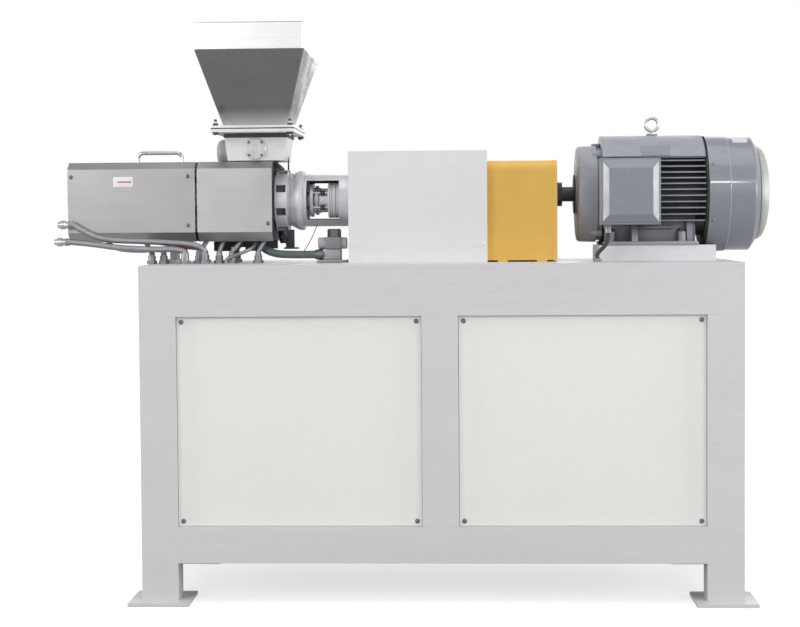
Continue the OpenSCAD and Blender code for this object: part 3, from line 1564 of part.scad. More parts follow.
// Cooling water: a solenoid valve on the table, and a small ball valve on a riser to the barrel
module water_valve() {
  z1 = table_h + valve_base_t;
  z2 = z1 + valve_port_h;
  z3 = z2 + valve_body_h;
  color(cast) {
    translate([valve_x, valve_y, 0]) {
      span([-valve_base_l / 2, -valve_w / 2, table_h], [valve_base_l / 2, valve_w / 2, z1]);
      span([-valve_l / 3, -valve_w / 3, z1], [valve_l / 3, valve_w / 3, z2]);
      span([-valve_l / 2 + hopper_bolt_d, -valve_w / 2, z2], [valve_l / 2, valve_w / 2, z3]);
      span([-coil_w / 2 + hopper_bolt_d, -coil_w / 2, z3], [coil_w / 2 + hopper_bolt_d, coil_w / 2,
        z3 + coil_h]);
      bar_x(-valve_l / 3 - hose_nut_l, -valve_l / 3, hose_d / 2, 0, z1 + valve_port_h / 2);
    }
    difference() {
      union() {
        bar_z(table_h, screw_z - barrel_w / 2, riser_r, riser_x, riser_y);
        bar_z(ball_valve_z - ball_valve_len / 2, ball_valve_z + ball_valve_len / 2, ball_valve_r, riser_x,
          riser_y);
      }
      bar_y(riser_y - ball_valve_r - cut, riser_y - riser_r / 2, stem_r + bearing_fit, riser_x,
        ball_valve_z);
    }
  }
}

// Red butterfly handle that turns the ball valve
module valve_lever() {
  y0 = riser_y - riser_r / 2 - seat;
  color("firebrick") {
    bar_y(y0 - stem_len, y0, stem_r, riser_x, ball_valve_z);
    translate([riser_x, y0 - stem_len + wing_t, ball_valve_z]) rotate([90, 0,
      0]) linear_extrude(wing_t) hull() {
      for (s = [-1, 1]) translate([s * (wing_l - wing_h) / 2, 0]) circle(d = wing_h);
    }
  }
}

// Route from a to b through points that are given as shares of the way
function way(a, b, shares) = concat([a], [for (s = shares) [for (i = [0 : 2])
  a[i] + s[i] * (b[i] - a[i])]], [b]);

// Station along the rear heat shield, and the place of a gland's top on the table
function along(share) = x_split1 + share * rear_shield_len;
function gland_foot(s) = [along(s[0]), s[1] * barrel_w, table_h + gland_h];

// Smooth curve through the route's points, with n steps between neighbours
function curve_point(a, b, c, d, t) =
  b + 0.5 * t * (c - a) + t * t * (a - 2.5 * b + 2 * c - 0.5 * d) + t * t * t * (1.5 * (b - c)
    + 0.5 * (d - a));
function smooth(p, n) = let(m = len(p)) concat([for (i = [0 : m - 2], k = [0 : n - 1])
  curve_point(p[max(i - 1, 0)], p[i], p[i + 1], p[min(i + 2, m - 1)], k / n)], [p[m - 1]]);

// Tube along a route: one ring of points at every step, closed at both ends
module cord(route, r, steps = 1, sides = 10) {
  path = smooth(route, steps);
  m = len(path);
  rings = [for (i = [0 : m - 1]) let(
    t = i == 0 ? route[1] - route[0] : i == m - 1 ? route[len(route) - 1] - route[len(route)
      - 2] : path[i + 1] - path[i - 1],
    d = t / norm(t),
    s0 = cross([0, 1, 0], d), s = s0 / norm(s0), q = cross(d, s))
    for (k = [0 : sides - 1]) path[i] + r * (cos(k * 360 / sides) * s + sin(k * 360 / sides) * q)];
  walls = [for (i = [0 : m - 2], k = [0 : sides - 1]) let(a = i * sides + k,
    b = i * sides + (k + 1) % sides)
    for (f = [[a, a + sides, b + sides], [a, b + sides, b]]) f];
  first = [for (k = [0 : sides - 1]) k];
  last = [for (k = [0 : sides - 1]) m * sides - 1 - k];
  polyhedron(rings, concat(walls, [first, last]));
}

// Heater conduits, from the barrel down to their glands in the table
module heater_conduits() {
  color(cast) for (r = conduit_routes) cord(r, conduit_r);
}

module die_conduits() {
  color(cast) for (r = die_routes) cord(r, die_route_r);
}

// Hose from the solenoid valve to the feed barrel
module water_hose() {
  color([0.30, 0.36, 0.36]) cord(hose_route, hose_d / 2, 2, 12);
}

// Glands where conduits enter the table
module cable_glands() {
  color(cast) {
    for (p = gland_places) translate([p[0], p[1], 0]) {
      bar_z(table_h - plate_t, table_h, gland_hole_d / 2 - fit);
      translate([0, 0, table_h]) hex(gland_hole_d * 1.2, gland_h * lift_share);
      bar_z(table_h + gland_h * lift_share, table_h + gland_h, gland_hole_d / 2);
    }
    translate([cable_x, cable_y, motor_z + tbox_up - tbox_h]) rotate([180, 0, 0]) {
      hex(gland_r * 2.4, gland_h * lift_share);
      bar_z(0, gland_h, gland_r);
    }
    translate([cable_foot_x, cable_y, table_h]) hex(gland_r * 2.4, gland_h * lift_share);
  }
}

// Motor cable from the terminal box down to the table
module motor_cable() {
  color(dark) cord(cable_route, cable_r, 1, 8);
}

// Die cable connectors on their bracket under the barrel's end
module die_connectors() {
  color(steel) {
    for (r = die_routes) {
      translate([r[0][0], r[0][1], r[0][2]]) rotate([0, -90, 0]) rotate_extrude() polygon([
        [0, 0], [plug_r * 0.8, 0], [plug_r * 0.8, plug_len * 0.3], [plug_r, plug_len * 0.35], [plug_r,
          plug_len * 0.75],
        [plug_r * 0.7, plug_len * 0.8], [plug_r * 0.7, plug_len], [0, plug_len]]);
    }
  }
}

table_top();
top_rails();
bottom_rails();
posts();
foot_plates();
front_panels();
side_panels();
panel_screws();
motor_bed();
motor_frame();
motor_end_shields();
motor_bearings();
stator();
fan_cowl();
fan_grille();
terminal_box();
terminal_lid();
eye_bolt();
motor_cable();
coupling_guard();
gearbox_cover();
gearbox_housing();
gearbox_lid();
gearbox_bearings();
lantern();
adapter_ring();
machine_bolts();
packing_gland();
feed_barrel();
main_barrel();
barrel_heaters();
barrel_support();
rear_shield();
feed_throat();
throat_cover();
agitator_drive();
hopper_gasket();
hopper();
hopper_bolts();
water_valve();
water_hose();
heater_conduits();
die_conduits();
cable_glands();
die_connectors();
motor_rotor();
cooling_fan();
motor_hub();
coupling_spider();
gearbox_hub();
input_shaft();
layshaft();
output_shaft_a();
screw_a();
output_shaft_b();
screw_b();
agitator();
front_shield();
shield_handle();
valve_lever();
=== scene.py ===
"""Looks of a bench twin screw extruder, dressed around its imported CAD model.

Every length is in metres, in the frame of the CAD model: X from the die end to the motor, Y from the
operator's side to the back, Z up, with the floor at zero. Among the sizes of a class, a plate is given by
its lowest and its highest corner, the radius of its corners and the radius of its edges. A screw head is
given by its width, its height and its kind, and a turned piece by its profile, as stations and radii.
"""

import logging
import math
from dataclasses import dataclass, field
from enum import Enum

import bpy
import numpy as np
from mathutils import Matrix, Vector


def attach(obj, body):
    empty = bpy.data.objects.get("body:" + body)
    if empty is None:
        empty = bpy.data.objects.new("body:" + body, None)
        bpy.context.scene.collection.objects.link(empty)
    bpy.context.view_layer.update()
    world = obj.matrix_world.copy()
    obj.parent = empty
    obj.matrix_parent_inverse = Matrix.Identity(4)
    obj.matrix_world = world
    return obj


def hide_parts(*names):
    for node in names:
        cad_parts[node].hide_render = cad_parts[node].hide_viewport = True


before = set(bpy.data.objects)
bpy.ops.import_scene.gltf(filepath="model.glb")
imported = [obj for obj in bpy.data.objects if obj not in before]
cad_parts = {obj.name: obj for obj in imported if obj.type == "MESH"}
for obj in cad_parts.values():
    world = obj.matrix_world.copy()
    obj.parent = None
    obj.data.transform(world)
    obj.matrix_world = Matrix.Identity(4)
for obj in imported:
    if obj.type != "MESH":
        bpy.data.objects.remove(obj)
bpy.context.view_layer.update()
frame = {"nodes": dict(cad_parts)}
LOG = logging.getLogger("extruder")

Array = np.ndarray
Pair = tuple[float, float]
Point = tuple[float, float, float]
Colour = tuple[float, float, float]
# Each point of a profile is a station and a radius or height, or two coordinates.
Profile = tuple[Pair, ...]
Socket = bpy.types.NodeSocket

AXIS_X = (1.0, 0.0, 0.0)
AXIS_Y = (0.0, 1.0, 0.0)
AXIS_Z = (0.0, 0.0, 1.0)
SIDES = (-1, 1)

# Height of the barrel's and of the motor's axis, and where the feed stands along the barrel.
BARREL_Z = 0.997362
MOTOR_Z = 1.008
FEED_X = -0.399


def srgb(red: int, green: int, blue: int) -> Colour:
    """Linear colour of a display colour.

    Above 0.04045 it is the 2.4th power of the value plus 0.055 over 1.055, and below that the value over
    12.92.

    Args:
        red: Its red, from 0 to 255.
        green: Its green.
        blue: Its blue.

    Returns:
        The linear colour.
    """
    steps = np.array([red, green, blue], float) / 255
    linear = np.where(steps > 0.04045, ((steps + 0.055) / 1.055) ** 2.4, steps / 12.92)
    return tuple(float(v) for v in linear)


# Closed surfaces worked out on grids


@dataclass
class Solid:
    """A closed surface: points, quads, triangles, and the quads' corners on the surface's own map."""

    points: Array
    quads: Array
    tris: Array
    chart: Array

    def outward(self) -> "Solid":
        """The same surface with every face pointing out.

        The signed volume is a sixth of the sum, over the triangles, of the first corner times the cross
        product of the other two. Where it is negative, the faces are turned round.

        Returns:
            The surface, with its faces turned if its volume came out negative.
        """
        halves = np.concatenate([self.quads[:, [0, 1, 2]], self.quads[:, [0, 2, 3]], self.tris])
        a, b, c = (self.points[halves[:, k]] - self.points.mean(0) for k in range(3))
        if np.einsum("ij,ij->i", a, np.cross(b, c)).sum() < 0:
            return Solid(self.points, self.quads[:, ::-1], self.tris[:, ::-1], self.chart[:, ::-1])
        return self


def skin(grid: Array, ring: bool = False) -> Solid:
    """Closed surface over a grid of points whose columns run round it.

    The columns always close round. The rows close into a ring, or each end row closes with a fan on its
    middle point.

    Args:
        grid: Points as rows, columns and three coordinates.
        ring: Whether the last row joins the first.

    Returns:
        The closed surface, facing outwards.
    """
    rows, cols, _ = grid.shape
    last = rows if ring else rows - 1
    row, col = np.meshgrid(np.arange(last), np.arange(cols), indexing="ij")
    below, beside = (row + 1) % rows, (col + 1) % cols
    above, under = row * cols, below * cols
    quads = np.stack([above + col, above + beside, under + beside, under + col], -1)
    step = np.linalg.norm(np.diff(np.concatenate([grid[:, 0], grid[:1, 0]]), axis=0), axis=1)
    run = np.concatenate([[0.0], np.cumsum(step)])
    turn = np.arange(cols + 1) / cols
    chart = np.stack([
        np.stack([run[row], turn[col]], -1), np.stack([run[row], turn[col + 1]], -1),
        np.stack([run[row + 1], turn[col + 1]], -1), np.stack([run[row + 1], turn[col]], -1)], -2)
    points = grid.reshape(-1, 3)
    tris = np.zeros((0, 3), int)
    if not ring:
        points = np.concatenate([points, grid[:1].mean(1), grid[-1:].mean(1)])
        k = np.arange(cols)
        start = np.stack([np.full(cols, rows * cols), (k + 1) % cols, k], -1)
        base = (rows - 1) * cols
        end = np.stack([np.full(cols, rows * cols + 1), base + k, base + (k + 1) % cols], -1)
        tris = np.concatenate([start, end])
    return Solid(points, quads.reshape(-1, 4), tris, chart.reshape(-1, 4, 2)).outward()


def axes_about(direction: Point) -> tuple[Array, Array, Array]:
    """A unit vector along a direction and two more that stand square to it and to each other.

    The second is the cross product of the upright axis, or of X for a steep direction, with the first. The
    third is the cross product of the first with the second.

    Args:
        direction: The direction, of any length.

    Returns:
        The three unit vectors.
    """
    d = np.array(direction, float) / np.linalg.norm(direction)
    other = np.array(AXIS_Z if abs(d[2]) < 0.9 else AXIS_X)
    u = np.cross(other, d)
    u /= np.linalg.norm(u)
    return d, u, np.cross(d, u)


def turned(profile: Profile, foot: Point, direction: Point, sides: int = 48, ring: bool = False,
           outline: Array | None = None) -> Solid:
    """Surface of a profile that is turned about an axis.

    A point of the surface is the foot, plus its station along the axis, plus its radius times the cosine of
    the turn along one square vector and the sine along the other.

    Args:
        profile: Station and radius of each profile point.
        foot: Where station zero lies.
        direction: Direction of the axis.
        sides: Points round the axis.
        ring: Whether the profile closes on itself, as for a ring.
        outline: Factor of the radius for each profile point and side, where the section isn't round.

    Returns:
        The closed surface.
    """
    d, u, v = axes_about(direction)
    turn = np.linspace(0, 2 * np.pi, sides, endpoint=False)
    round_ = np.cos(turn)[:, None] * u + np.sin(turn)[:, None] * v
    station, radius = np.array(profile, float).T
    reach = radius[:, None] * (1 if outline is None else outline)
    reach = np.broadcast_to(reach, (len(profile), sides))[..., None]
    return skin(np.array(foot) + station[:, None, None] * d + reach * round_, ring)


def smooth_route(route: list[Point], steps: int) -> Array:
    """Smooth curve through a route's points.

    Between two neighbours it is the cubic whose slope at each point is half the chord between that point's
    own neighbours.

    Args:
        route: The points that the curve passes through.
        steps: Steps between two of them.

    Returns:
        The points of the curve.
    """
    p = np.array(route, float)
    wide = np.concatenate([p[:1], p, p[-1:]])
    a, b, c, d = wide[:-3, None], wide[1:-2, None], wide[2:-1, None], wide[3:, None]
    t = (np.arange(steps) / steps)[None, :, None]
    square, cube = a - 2.5 * b + 2 * c - 0.5 * d, 1.5 * (b - c) + 0.5 * (d - a)
    curve = b + 0.5 * t * (c - a) + t**2 * square + t**3 * cube
    return np.concatenate([curve.reshape(-1, 3), p[-1:]])


def swept(path: Array, radius: float | Array, sides: int = 12, ring: bool = False, across: Point = AXIS_Y,
          section: Array | None = None) -> Solid:
    """Tube or strip along a path.

    Each ring of points stands square to the path: one vector is the cross product of a fixed direction with
    the path's own, and the other the cross product of the path's with the first.

    Args:
        path: Points of the middle line.
        radius: Radius, or one for each point.
        sides: Points round the tube.
        ring: Whether the path closes on itself.
        across: The fixed direction, never along the path.
        section: Points of another section in place of a circle, along the two vectors.

    Returns:
        The closed tube.
    """
    if ring:
        along = np.roll(path, -1, 0) - np.roll(path, 1, 0)
    else:
        along = np.gradient(path, axis=0)
    along /= np.linalg.norm(along, axis=1)[:, None]
    u = np.cross(np.array(across), along)
    u /= np.linalg.norm(u, axis=1)[:, None]
    v = np.cross(along, u)
    if section is None:
        turn = np.linspace(0, 2 * np.pi, sides, endpoint=False)
        section = np.stack([np.cos(turn), np.sin(turn)], -1)
        section = section * np.broadcast_to(np.asarray(radius, float), (len(path),))[:, None, None]
    return skin(path[:, None] + section[..., :1] * u[:, None] + section[..., 1:] * v[:, None], ring)


def rounded(length: float, width: float, corner: float, steps: int = 6) -> Array:
    """Outline of a rectangle with round corners, about its middle.

    Each corner is a quarter circle about a centre that lies in from both sides by the corner's radius.

    Args:
        length: Size along the first axis.
        width: Size along the second axis.
        corner: Radius of the corners.
        steps: Points in a corner, less one.

    Returns:
        The outline's points, two coordinates each.
    """
    quarter = np.linspace(0, np.pi / 2, steps + 1)
    turn = np.concatenate([quarter + k * np.pi / 2 for k in range(4)])
    side = np.repeat(np.array([[1, 1], [-1, 1], [-1, -1], [1, -1]]), steps + 1, axis=0)
    centre = side * (np.array([length, width]) / 2 - corner)
    return centre + corner * np.stack([np.cos(turn), np.sin(turn)], -1)


def lofted(outlines: list[tuple[Array, float]], origin: Point, u: Point, v: Point,
           ring: bool = False) -> Solid:
    """Surface over outlines that stand at heights above an origin.

    A point is the origin, plus its outline's two coordinates along u and v, plus the height along the
    cross product of u and v.

    Args:
        outlines: Each outline with its height.
        origin: Where both coordinates and the height are zero.
        u: Direction of an outline's first coordinate.
        v: Direction of its second coordinate.
        ring: Whether the last outline joins the first, as in a frame or a shell.

    Returns:
        The closed surface.
    """
    flat = np.array([o for o, _ in outlines])
    height = np.array([h for _, h in outlines])
    w = np.cross(u, v)
    level = np.array(origin) + flat[..., :1] * np.array(u) + flat[..., 1:] * np.array(v)
    return skin(level + height[:, None, None] * w, ring)


def plate(lo: Point, hi: Point, corner: float, ease: float, up: Point = AXIS_Z) -> Solid:
    """Plate between two corners, with round corners and eased edges.

    Its outlines draw in by the ease at the bottom and the top, along a quarter circle in three steps.

    Args:
        lo: Lowest corner.
        hi: Highest corner.
        corner: Radius of its corners, seen along up.
        ease: Radius of its edges.
        up: The axis that the outlines are stacked along.

    Returns:
        The closed plate.
    """
    size, mid = np.array(hi) - np.array(lo), (np.array(hi) + np.array(lo)) / 2
    axis = int(np.argmax(np.abs(up)))
    first, second = (axis + 1) % 3, (axis + 2) % 3
    turn = np.linspace(0, np.pi / 2, 4)
    draw = ease * (1 - np.sin(turn))
    rise = ease * (1 - np.cos(turn))
    inset = np.concatenate([draw, draw[::-1]])
    height = np.concatenate([rise, size[axis] - rise[::-1]]) - size[axis] / 2
    outlines = [(rounded(size[first] - 2 * i, size[second] - 2 * i, max(corner - i, ease * 0.1)), h)
                for i, h in zip(inset, height)]
    return lofted(outlines, tuple(mid), tuple(np.eye(3)[first]), tuple(np.eye(3)[second]))


class Head(Enum):
    """Kind of screw head."""

    HEX = "hexagon"
    SOCKET = "socket"
    BUTTON = "button"
    DISC = "washer"


# Shares of the height and of the half width at each point of a head's profile, and how hexagonal it is there.
HEAD_SHARES = {
    Head.HEX: ((0, 1, 1), (0.86, 1, 1), (1, 0.9, 0.15), (1, 0.45, 0)),
    Head.SOCKET: ((0, 1, 0), (0.88, 1, 0), (1, 0.9, 0), (1, 0.52, 1), (0.35, 0.5, 1), (0.35, 0.2, 1)),
    Head.BUTTON: ((0, 1, 0), (0.45, 0.93, 0), (0.8, 0.75, 0), (1, 0.5, 0), (1, 0.36, 1), (0.4, 0.34, 1)),
    Head.DISC: ((0, 1, 0), (0.7, 1, 0), (1, 0.93, 0), (1, 0.5, 0))}
HEAD_SIDES = 24


def hexagon(sides: int, corners: Array) -> Array:
    """Factors of the radius that make a circle of points a hexagon, as far as corners says.

    The radius of a hexagon is its half width over the cosine of the angle from the nearest flat's middle.

    Args:
        sides: Points round the circle.
        corners: For each row, zero for a circle and one for a full hexagon.

    Returns:
        Factors by row and side.
    """
    turn = np.linspace(0, 360, sides, endpoint=False)
    flat = 1 / np.cos(np.radians((turn + 30) % 60 - 30))
    return 1 + corners[:, None] * (flat - 1)


def screw_head(foot: Point, direction: Point, width: float, height: float, kind: Head) -> Solid:
    """Head of a screw that stands on a face.

    Args:
        foot: Middle of its underside.
        direction: The way that it faces.
        width: Its diameter, or its width across flats.
        height: Its height.
        kind: Its shape.

    Returns:
        The closed head.
    """
    up, out, corners = np.array(HEAD_SHARES[kind]).T
    profile = np.stack([up * height, out * width / 2], -1)
    return turned(profile, foot, direction, HEAD_SIDES, outline=hexagon(HEAD_SIDES, corners))


# Materials


def toned(colour: Colour, factor: float, lift: float = 0.0) -> Colour:
    """A colour times a factor plus a lift, held below white."""
    return tuple(min(1.0, c * factor + lift) for c in colour)


class Nodes:
    """A node tree, with short ways to its usual nodes."""

    def __init__(self, tree: bpy.types.NodeTree) -> None:
        """Take hold of a tree."""
        self.tree = tree

    def add(self, kind: str, settings: dict | None = None, **inputs: object) -> bpy.types.Node:
        """Add a node.

        Args:
            kind: The node's type, without the word that all shader nodes start with.
            settings: Values of the node's own properties.
            inputs: Values or sockets for its inputs, by name with underscores for spaces, or by place as i0.

        Returns:
            The new node.
        """
        node = self.tree.nodes.new("ShaderNode" + kind)
        for key, value in (settings or {}).items():
            setattr(node, key, value)
        for key, value in inputs.items():
            by_place = key[0] == "i" and key[1:].isdigit()
            socket = node.inputs[int(key[1:]) if by_place else key.replace("_", " ")]
            if isinstance(value, Socket):
                self.tree.links.new(value, socket)
            else:
                socket.default_value = value
        return node

    def range(self, value: Socket, source: Pair, target: Pair) -> Socket:
        """A value stretched from one range to another, held at its ends."""
        ends = {"From_Min": source[0], "From_Max": source[1], "To_Min": target[0], "To_Max": target[1]}
        return self.add("MapRange", Value=value, **ends).outputs[0]

    def joined(self, rule: str, first: object, second: object) -> Socket:
        """Two values put together by a rule of the Math node."""
        return self.add("Math", {"operation": rule}, i0=first, i1=second).outputs[0]


class Shader(Nodes):
    """A material under construction."""

    def __init__(self, name: str, colour: Colour, roughness: float, metallic: float = 0.0) -> None:
        """Start a material whose surface has a plain colour.

        Args:
            name: The material's name.
            colour: Linear colour of its surface.
            roughness: Roughness of its surface.
            metallic: How far it reflects as a metal does.
        """
        self.material = bpy.data.materials.new(name)
        self.material.use_nodes = True
        super().__init__(self.material.node_tree)
        self.surface = self.tree.nodes["Principled BSDF"]
        self.colour = colour
        self.set("Base Color", (*colour, 1))
        self.set("Roughness", roughness)
        self.set("Metallic", metallic)

    def set(self, name: str, value: object) -> None:
        """Give the surface a value by its name."""
        self.surface.inputs[name].default_value = value

    def drive(self, name: str, value: Socket) -> None:
        """Let a socket drive one of the surface's values."""
        self.tree.links.new(value, self.surface.inputs[name])

    def place(self, scale: Point = (1, 1, 1), chart: bool = False) -> Socket:
        """Coordinates of the piece in metres, stretched, or its own map."""
        source = self.add("TexCoord").outputs["UV" if chart else "Object"]
        return self.add("Mapping", Vector=source, Scale=scale).outputs["Vector"]

    def noise(self, scale: float, stretch: Point = (1, 1, 1), detail: float = 3,
              rough: float = 0.55) -> Socket:
        """Soft noise from 0 to 1, with a number of blots to the metre and a stretch of them."""
        where = self.place(stretch)
        return self.add("TexNoise", Vector=where, Scale=scale, Detail=detail, Roughness=rough).outputs["Fac"]

    def tint(self, colour: Colour, share: Socket) -> None:
        """Blend the base colour towards another one.

        Args:
            colour: The other colour.
            share: Socket of its share.
        """
        base = self.surface.inputs["Base Color"]
        old = base.links[0].from_socket if base.is_linked else (*self.colour, 1)
        mix = self.add("Mix", {"data_type": "RGBA"}, i0=share, i6=old, i7=(*colour, 1))
        self.tree.links.new(mix.outputs[2], base)

    def mottle(self, colour: Colour, value: Socket, window: Pair, share: float) -> None:
        """Blend towards a colour as a value crosses a window, up to a share."""
        self.tint(colour, self.range(value, window, (0.0, share)))

    def rubbed(self, colour: Colour, worn: Socket, value: Socket, window: Pair, target: Pair) -> None:
        """Blend towards a colour along the worn edges, in patches."""
        self.tint(colour, self.joined("MULTIPLY", worn, self.range(value, window, target)))

    def dulled(self, roughness: float, value: Socket, less: float, more: float) -> Socket:
        """A roughness that varies with a value, by less and more than its middle."""
        return self.range(value, (0.3, 0.7), (roughness - less, roughness + more))

    def relief(self, height: Socket, depth: float, strength: float = 1.0) -> None:
        """Raise the surface by a height from 0 to 1 times a depth.

        Args:
            height: Socket of the height.
            depth: The depth.
            strength: How far it acts.
        """
        normal = self.surface.inputs["Normal"]
        bump = self.add("Bump", Height=height, Distance=depth, Strength=strength)
        if normal.is_linked:
            self.tree.links.new(normal.links[0].from_socket, bump.inputs["Normal"])
        self.tree.links.new(bump.outputs["Normal"], normal)

    def hollows(self, reach: float) -> Socket:
        """A value from ambient occlusion that rises from 0 in the open to 1 deep between neighbouring faces,
        for painted shade.
        """
        shade = self.add("AmbientOcclusion", {"samples": 6}, Distance=reach).outputs["AO"]
        return self.range(shade, (0.75, 0.15), (0.0, 1.0))

    def edges(self, radius: float) -> Socket:
        """Round the edges in the light, and say where they are.

        Args:
            radius: How far the rounding reaches.

        Returns:
            A value that is above 0 only along the edges.
        """
        bevel = self.add("Bevel", {"samples": 4}, Radius=radius).outputs["Normal"]
        self.drive("Normal", bevel)
        true = self.add("NewGeometry").outputs["Normal"]
        dot = self.add("VectorMath", {"operation": "DOT_PRODUCT"}, i0=bevel, i1=true).outputs["Value"]
        return self.range(dot, (1.0, 0.8), (0.0, 1.0))


@dataclass(frozen=True)
class Enamel:
    """Sprayed machine enamel: faint orange peel, slow drifts of tone, pale specks and rubbed edges."""

    name: str
    colour: Colour
    roughness: float = 0.42
    peel: float = 0.00006
    drift: float = 0.035
    streak: Point = (1, 1, 1)
    rub: float = 0.25
    edge: float = 0.0012
    coat: float = 0.0
    coat_roughness: float = 0.08
    specular: float = 0.45

    def material(self) -> bpy.types.Material:
        """Make the material.

        Returns:
            The material.
        """
        look = Shader(self.name, self.colour, self.roughness)
        look.set("Coat Weight", self.coat)
        look.set("Coat Roughness", self.coat_roughness)
        look.set("Specular IOR Level", self.specular)
        worn = look.edges(self.edge)
        clouds = look.noise(scale=2.6, stretch=self.streak, detail=4, rough=0.6)
        look.mottle(toned(self.colour, 1 - self.drift * 2.2), clouds, (0.35, 0.75), share=0.75)
        specks = look.noise(scale=55, stretch=self.streak, detail=3, rough=0.6)
        look.mottle(toned(self.colour, 1 + self.drift), specks, (0.45, 0.7), share=0.55)
        patches = look.noise(scale=70, detail=4)
        look.rubbed(toned(self.colour, 0.5, lift=0.45), worn, patches, (0.42, 0.62), (0.0, self.rub))
        sheen = look.noise(scale=18, stretch=self.streak, detail=4, rough=0.6)
        look.drive("Roughness", look.dulled(self.roughness, sheen, less=0.07, more=0.09))
        look.relief(look.noise(scale=420, detail=2), self.peel, strength=0.5)
        return look.material


@dataclass(frozen=True)
class Casting:
    """Painted cast metal: the paint follows the sand's grain and darkens in blotches, and painted shade
    darkens it in the hollows between neighbouring faces.
    """

    name: str
    colour: Colour
    roughness: float = 0.5
    grain: float = 0.00035
    metallic: float = 0.0
    # Share of the painted shade in the hollows, and how far the occlusion that finds them reaches.
    shade: float = 0.7
    reach: float = 0.025
    edge: float = 0.0016

    def material(self) -> bpy.types.Material:
        """Make the material.

        Returns:
            The material.
        """
        look = Shader(self.name, self.colour, self.roughness, self.metallic)
        worn = look.edges(self.edge)
        pools = look.noise(scale=24, detail=5, rough=0.65)
        look.mottle(toned(self.colour, 0.72), pools, (0.42, 0.72), share=0.6)
        patches = look.noise(scale=90, detail=4)
        look.rubbed(toned(self.colour, 0.6, lift=0.22), worn, patches, (0.4, 0.6), (0.05, 0.55))
        # Painted shade: darker where ambient occlusion finds neighbouring faces close by.
        look.tint(toned(self.colour, 0.16), look.joined("MULTIPLY", look.hollows(self.reach), self.shade))
        sheen = look.noise(scale=30, detail=4)
        look.drive("Roughness", look.dulled(self.roughness, sheen, less=0.1, more=0.12))
        look.relief(look.noise(scale=260, detail=4, rough=0.62), self.grain, strength=0.6)
        return look.material


@dataclass(frozen=True)
class Brushed:
    """Stainless sheet with a brushed grain along one direction, faint blotches and handling marks.

    Where a foot is given, as two heights, a painted reflection of the flange below lightens the sheet between
    them and makes it less metallic.
    """

    name: str
    colour: Colour
    roughness: float = 0.34
    grain: Point = (3, 420, 420)
    blotch: float = 0.05
    edge: float = 0.0012
    line: float = 0.22
    # Heights between which the flange's reflection is painted, and the colour that it is painted in.
    foot: tuple = ()
    glow: Colour = (0.8, 0.79, 0.8)

    def material(self) -> bpy.types.Material:
        """Make the material.

        Returns:
            The material.
        """
        look = Shader(self.name, self.colour, self.roughness, metallic=1.0)
        look.edges(self.edge)
        lines = look.noise(scale=1.0, stretch=self.grain, detail=3, rough=0.7)
        blotches = look.noise(scale=7, stretch=(1, 1, 1.8), detail=4, rough=0.6)
        look.mottle(toned(self.colour, 1 - self.blotch * 1.6), blotches, (0.4, 0.7), share=0.8)
        look.mottle(toned(self.colour, 1.16), lines, (0.46, 0.68), share=self.line)
        look.mottle(toned(self.colour, 0.78), lines, (0.5, 0.3), share=self.line)
        smudge = look.noise(scale=14, detail=4, rough=0.6)
        marks = look.range(smudge, (0.35, 0.7), (self.roughness * 0.85, self.roughness * 1.28))
        look.drive("Roughness", look.joined("ADD", marks, look.dulled(0.0, lines, less=0.05, more=0.06)))
        look.relief(lines, depth=0.00002, strength=0.3)
        # Painted reflection of the flange below: the colour lightens towards the foot and the metal turns
        # matt.
        if self.foot:
            height = look.add("SeparateXYZ", Vector=look.place()).outputs["Z"]
            painted_reflection = look.range(height, (self.foot[1], self.foot[0]), (0.0, 0.8))
            look.tint(self.glow, painted_reflection)
            look.drive("Metallic", look.joined("SUBTRACT", 1.0, look.joined("MULTIPLY", painted_reflection, 0.7)))
        return look.material


@dataclass(frozen=True)
class Machined:
    """Turned or milled metal: fine tool marks along its axis, a little oil and dulled patches."""

    name: str
    colour: Colour
    roughness: float = 0.3
    marks: Point = (700, 6, 6)
    metallic: float = 1.0
    stain: float = 0.2
    edge: float = 0.0008

    def material(self) -> bpy.types.Material:
        """Make the material.

        Returns:
            The material.
        """
        look = Shader(self.name, self.colour, self.roughness, self.metallic)
        worn = look.edges(self.edge)
        lines = look.noise(scale=1.0, stretch=self.marks, detail=2, rough=0.6)
        stains = look.noise(scale=32, detail=5, rough=0.6)
        look.mottle(toned(self.colour, 1 - self.stain), stains, (0.45, 0.7), share=0.8)
        look.tint(toned(self.colour, 1.25, lift=0.04), look.joined("MULTIPLY", worn, 0.7))
        oil = look.dulled(self.roughness, look.noise(scale=26, detail=4), less=0.07, more=0.12)
        look.drive("Roughness", look.joined("ADD", oil, look.dulled(0.0, lines, less=0.04, more=0.05)))
        look.relief(lines, depth=0.00005, strength=0.5)
        return look.material


@dataclass(frozen=True)
class Braid:
    """Woven wire sleeve: two families of strands that wind round the tube in opposite ways."""

    name: str
    colour: Colour
    radius: float
    carriers: int = 10
    slope: float = 1.1

    def material(self) -> bpy.types.Material:
        """Make the material from the sines of the turn round the tube, plus and minus the way along it.

        Returns:
            The material.
        """
        look = Shader(self.name, self.colour, roughness=0.36, metallic=0.9)
        chart = look.add("SeparateXYZ", Vector=look.place(chart=True)).outputs
        per_metre = self.carriers / (2 * math.pi * self.radius) * self.slope
        along = look.joined("MULTIPLY", chart["X"], per_metre)
        around = look.joined("MULTIPLY", chart["Y"], float(self.carriers))
        turns = [look.joined("MULTIPLY", look.joined(rule, around, along), 2 * math.pi)
                 for rule in ("ADD", "SUBTRACT")]
        one, two = (look.joined("SINE", turn, 0.0) for turn in turns)
        weave = look.joined("MAXIMUM", one, two)
        look.mottle(toned(self.colour, 0.3), weave, (0.75, -0.2), share=0.9)
        look.mottle(toned(self.colour, 0.6), look.noise(scale=60, detail=4), (0.5, 0.75), share=0.7)
        look.relief(look.range(weave, (-0.6, 1.0), (0.0, 1.0)), depth=0.0005, strength=0.8)
        return look.material


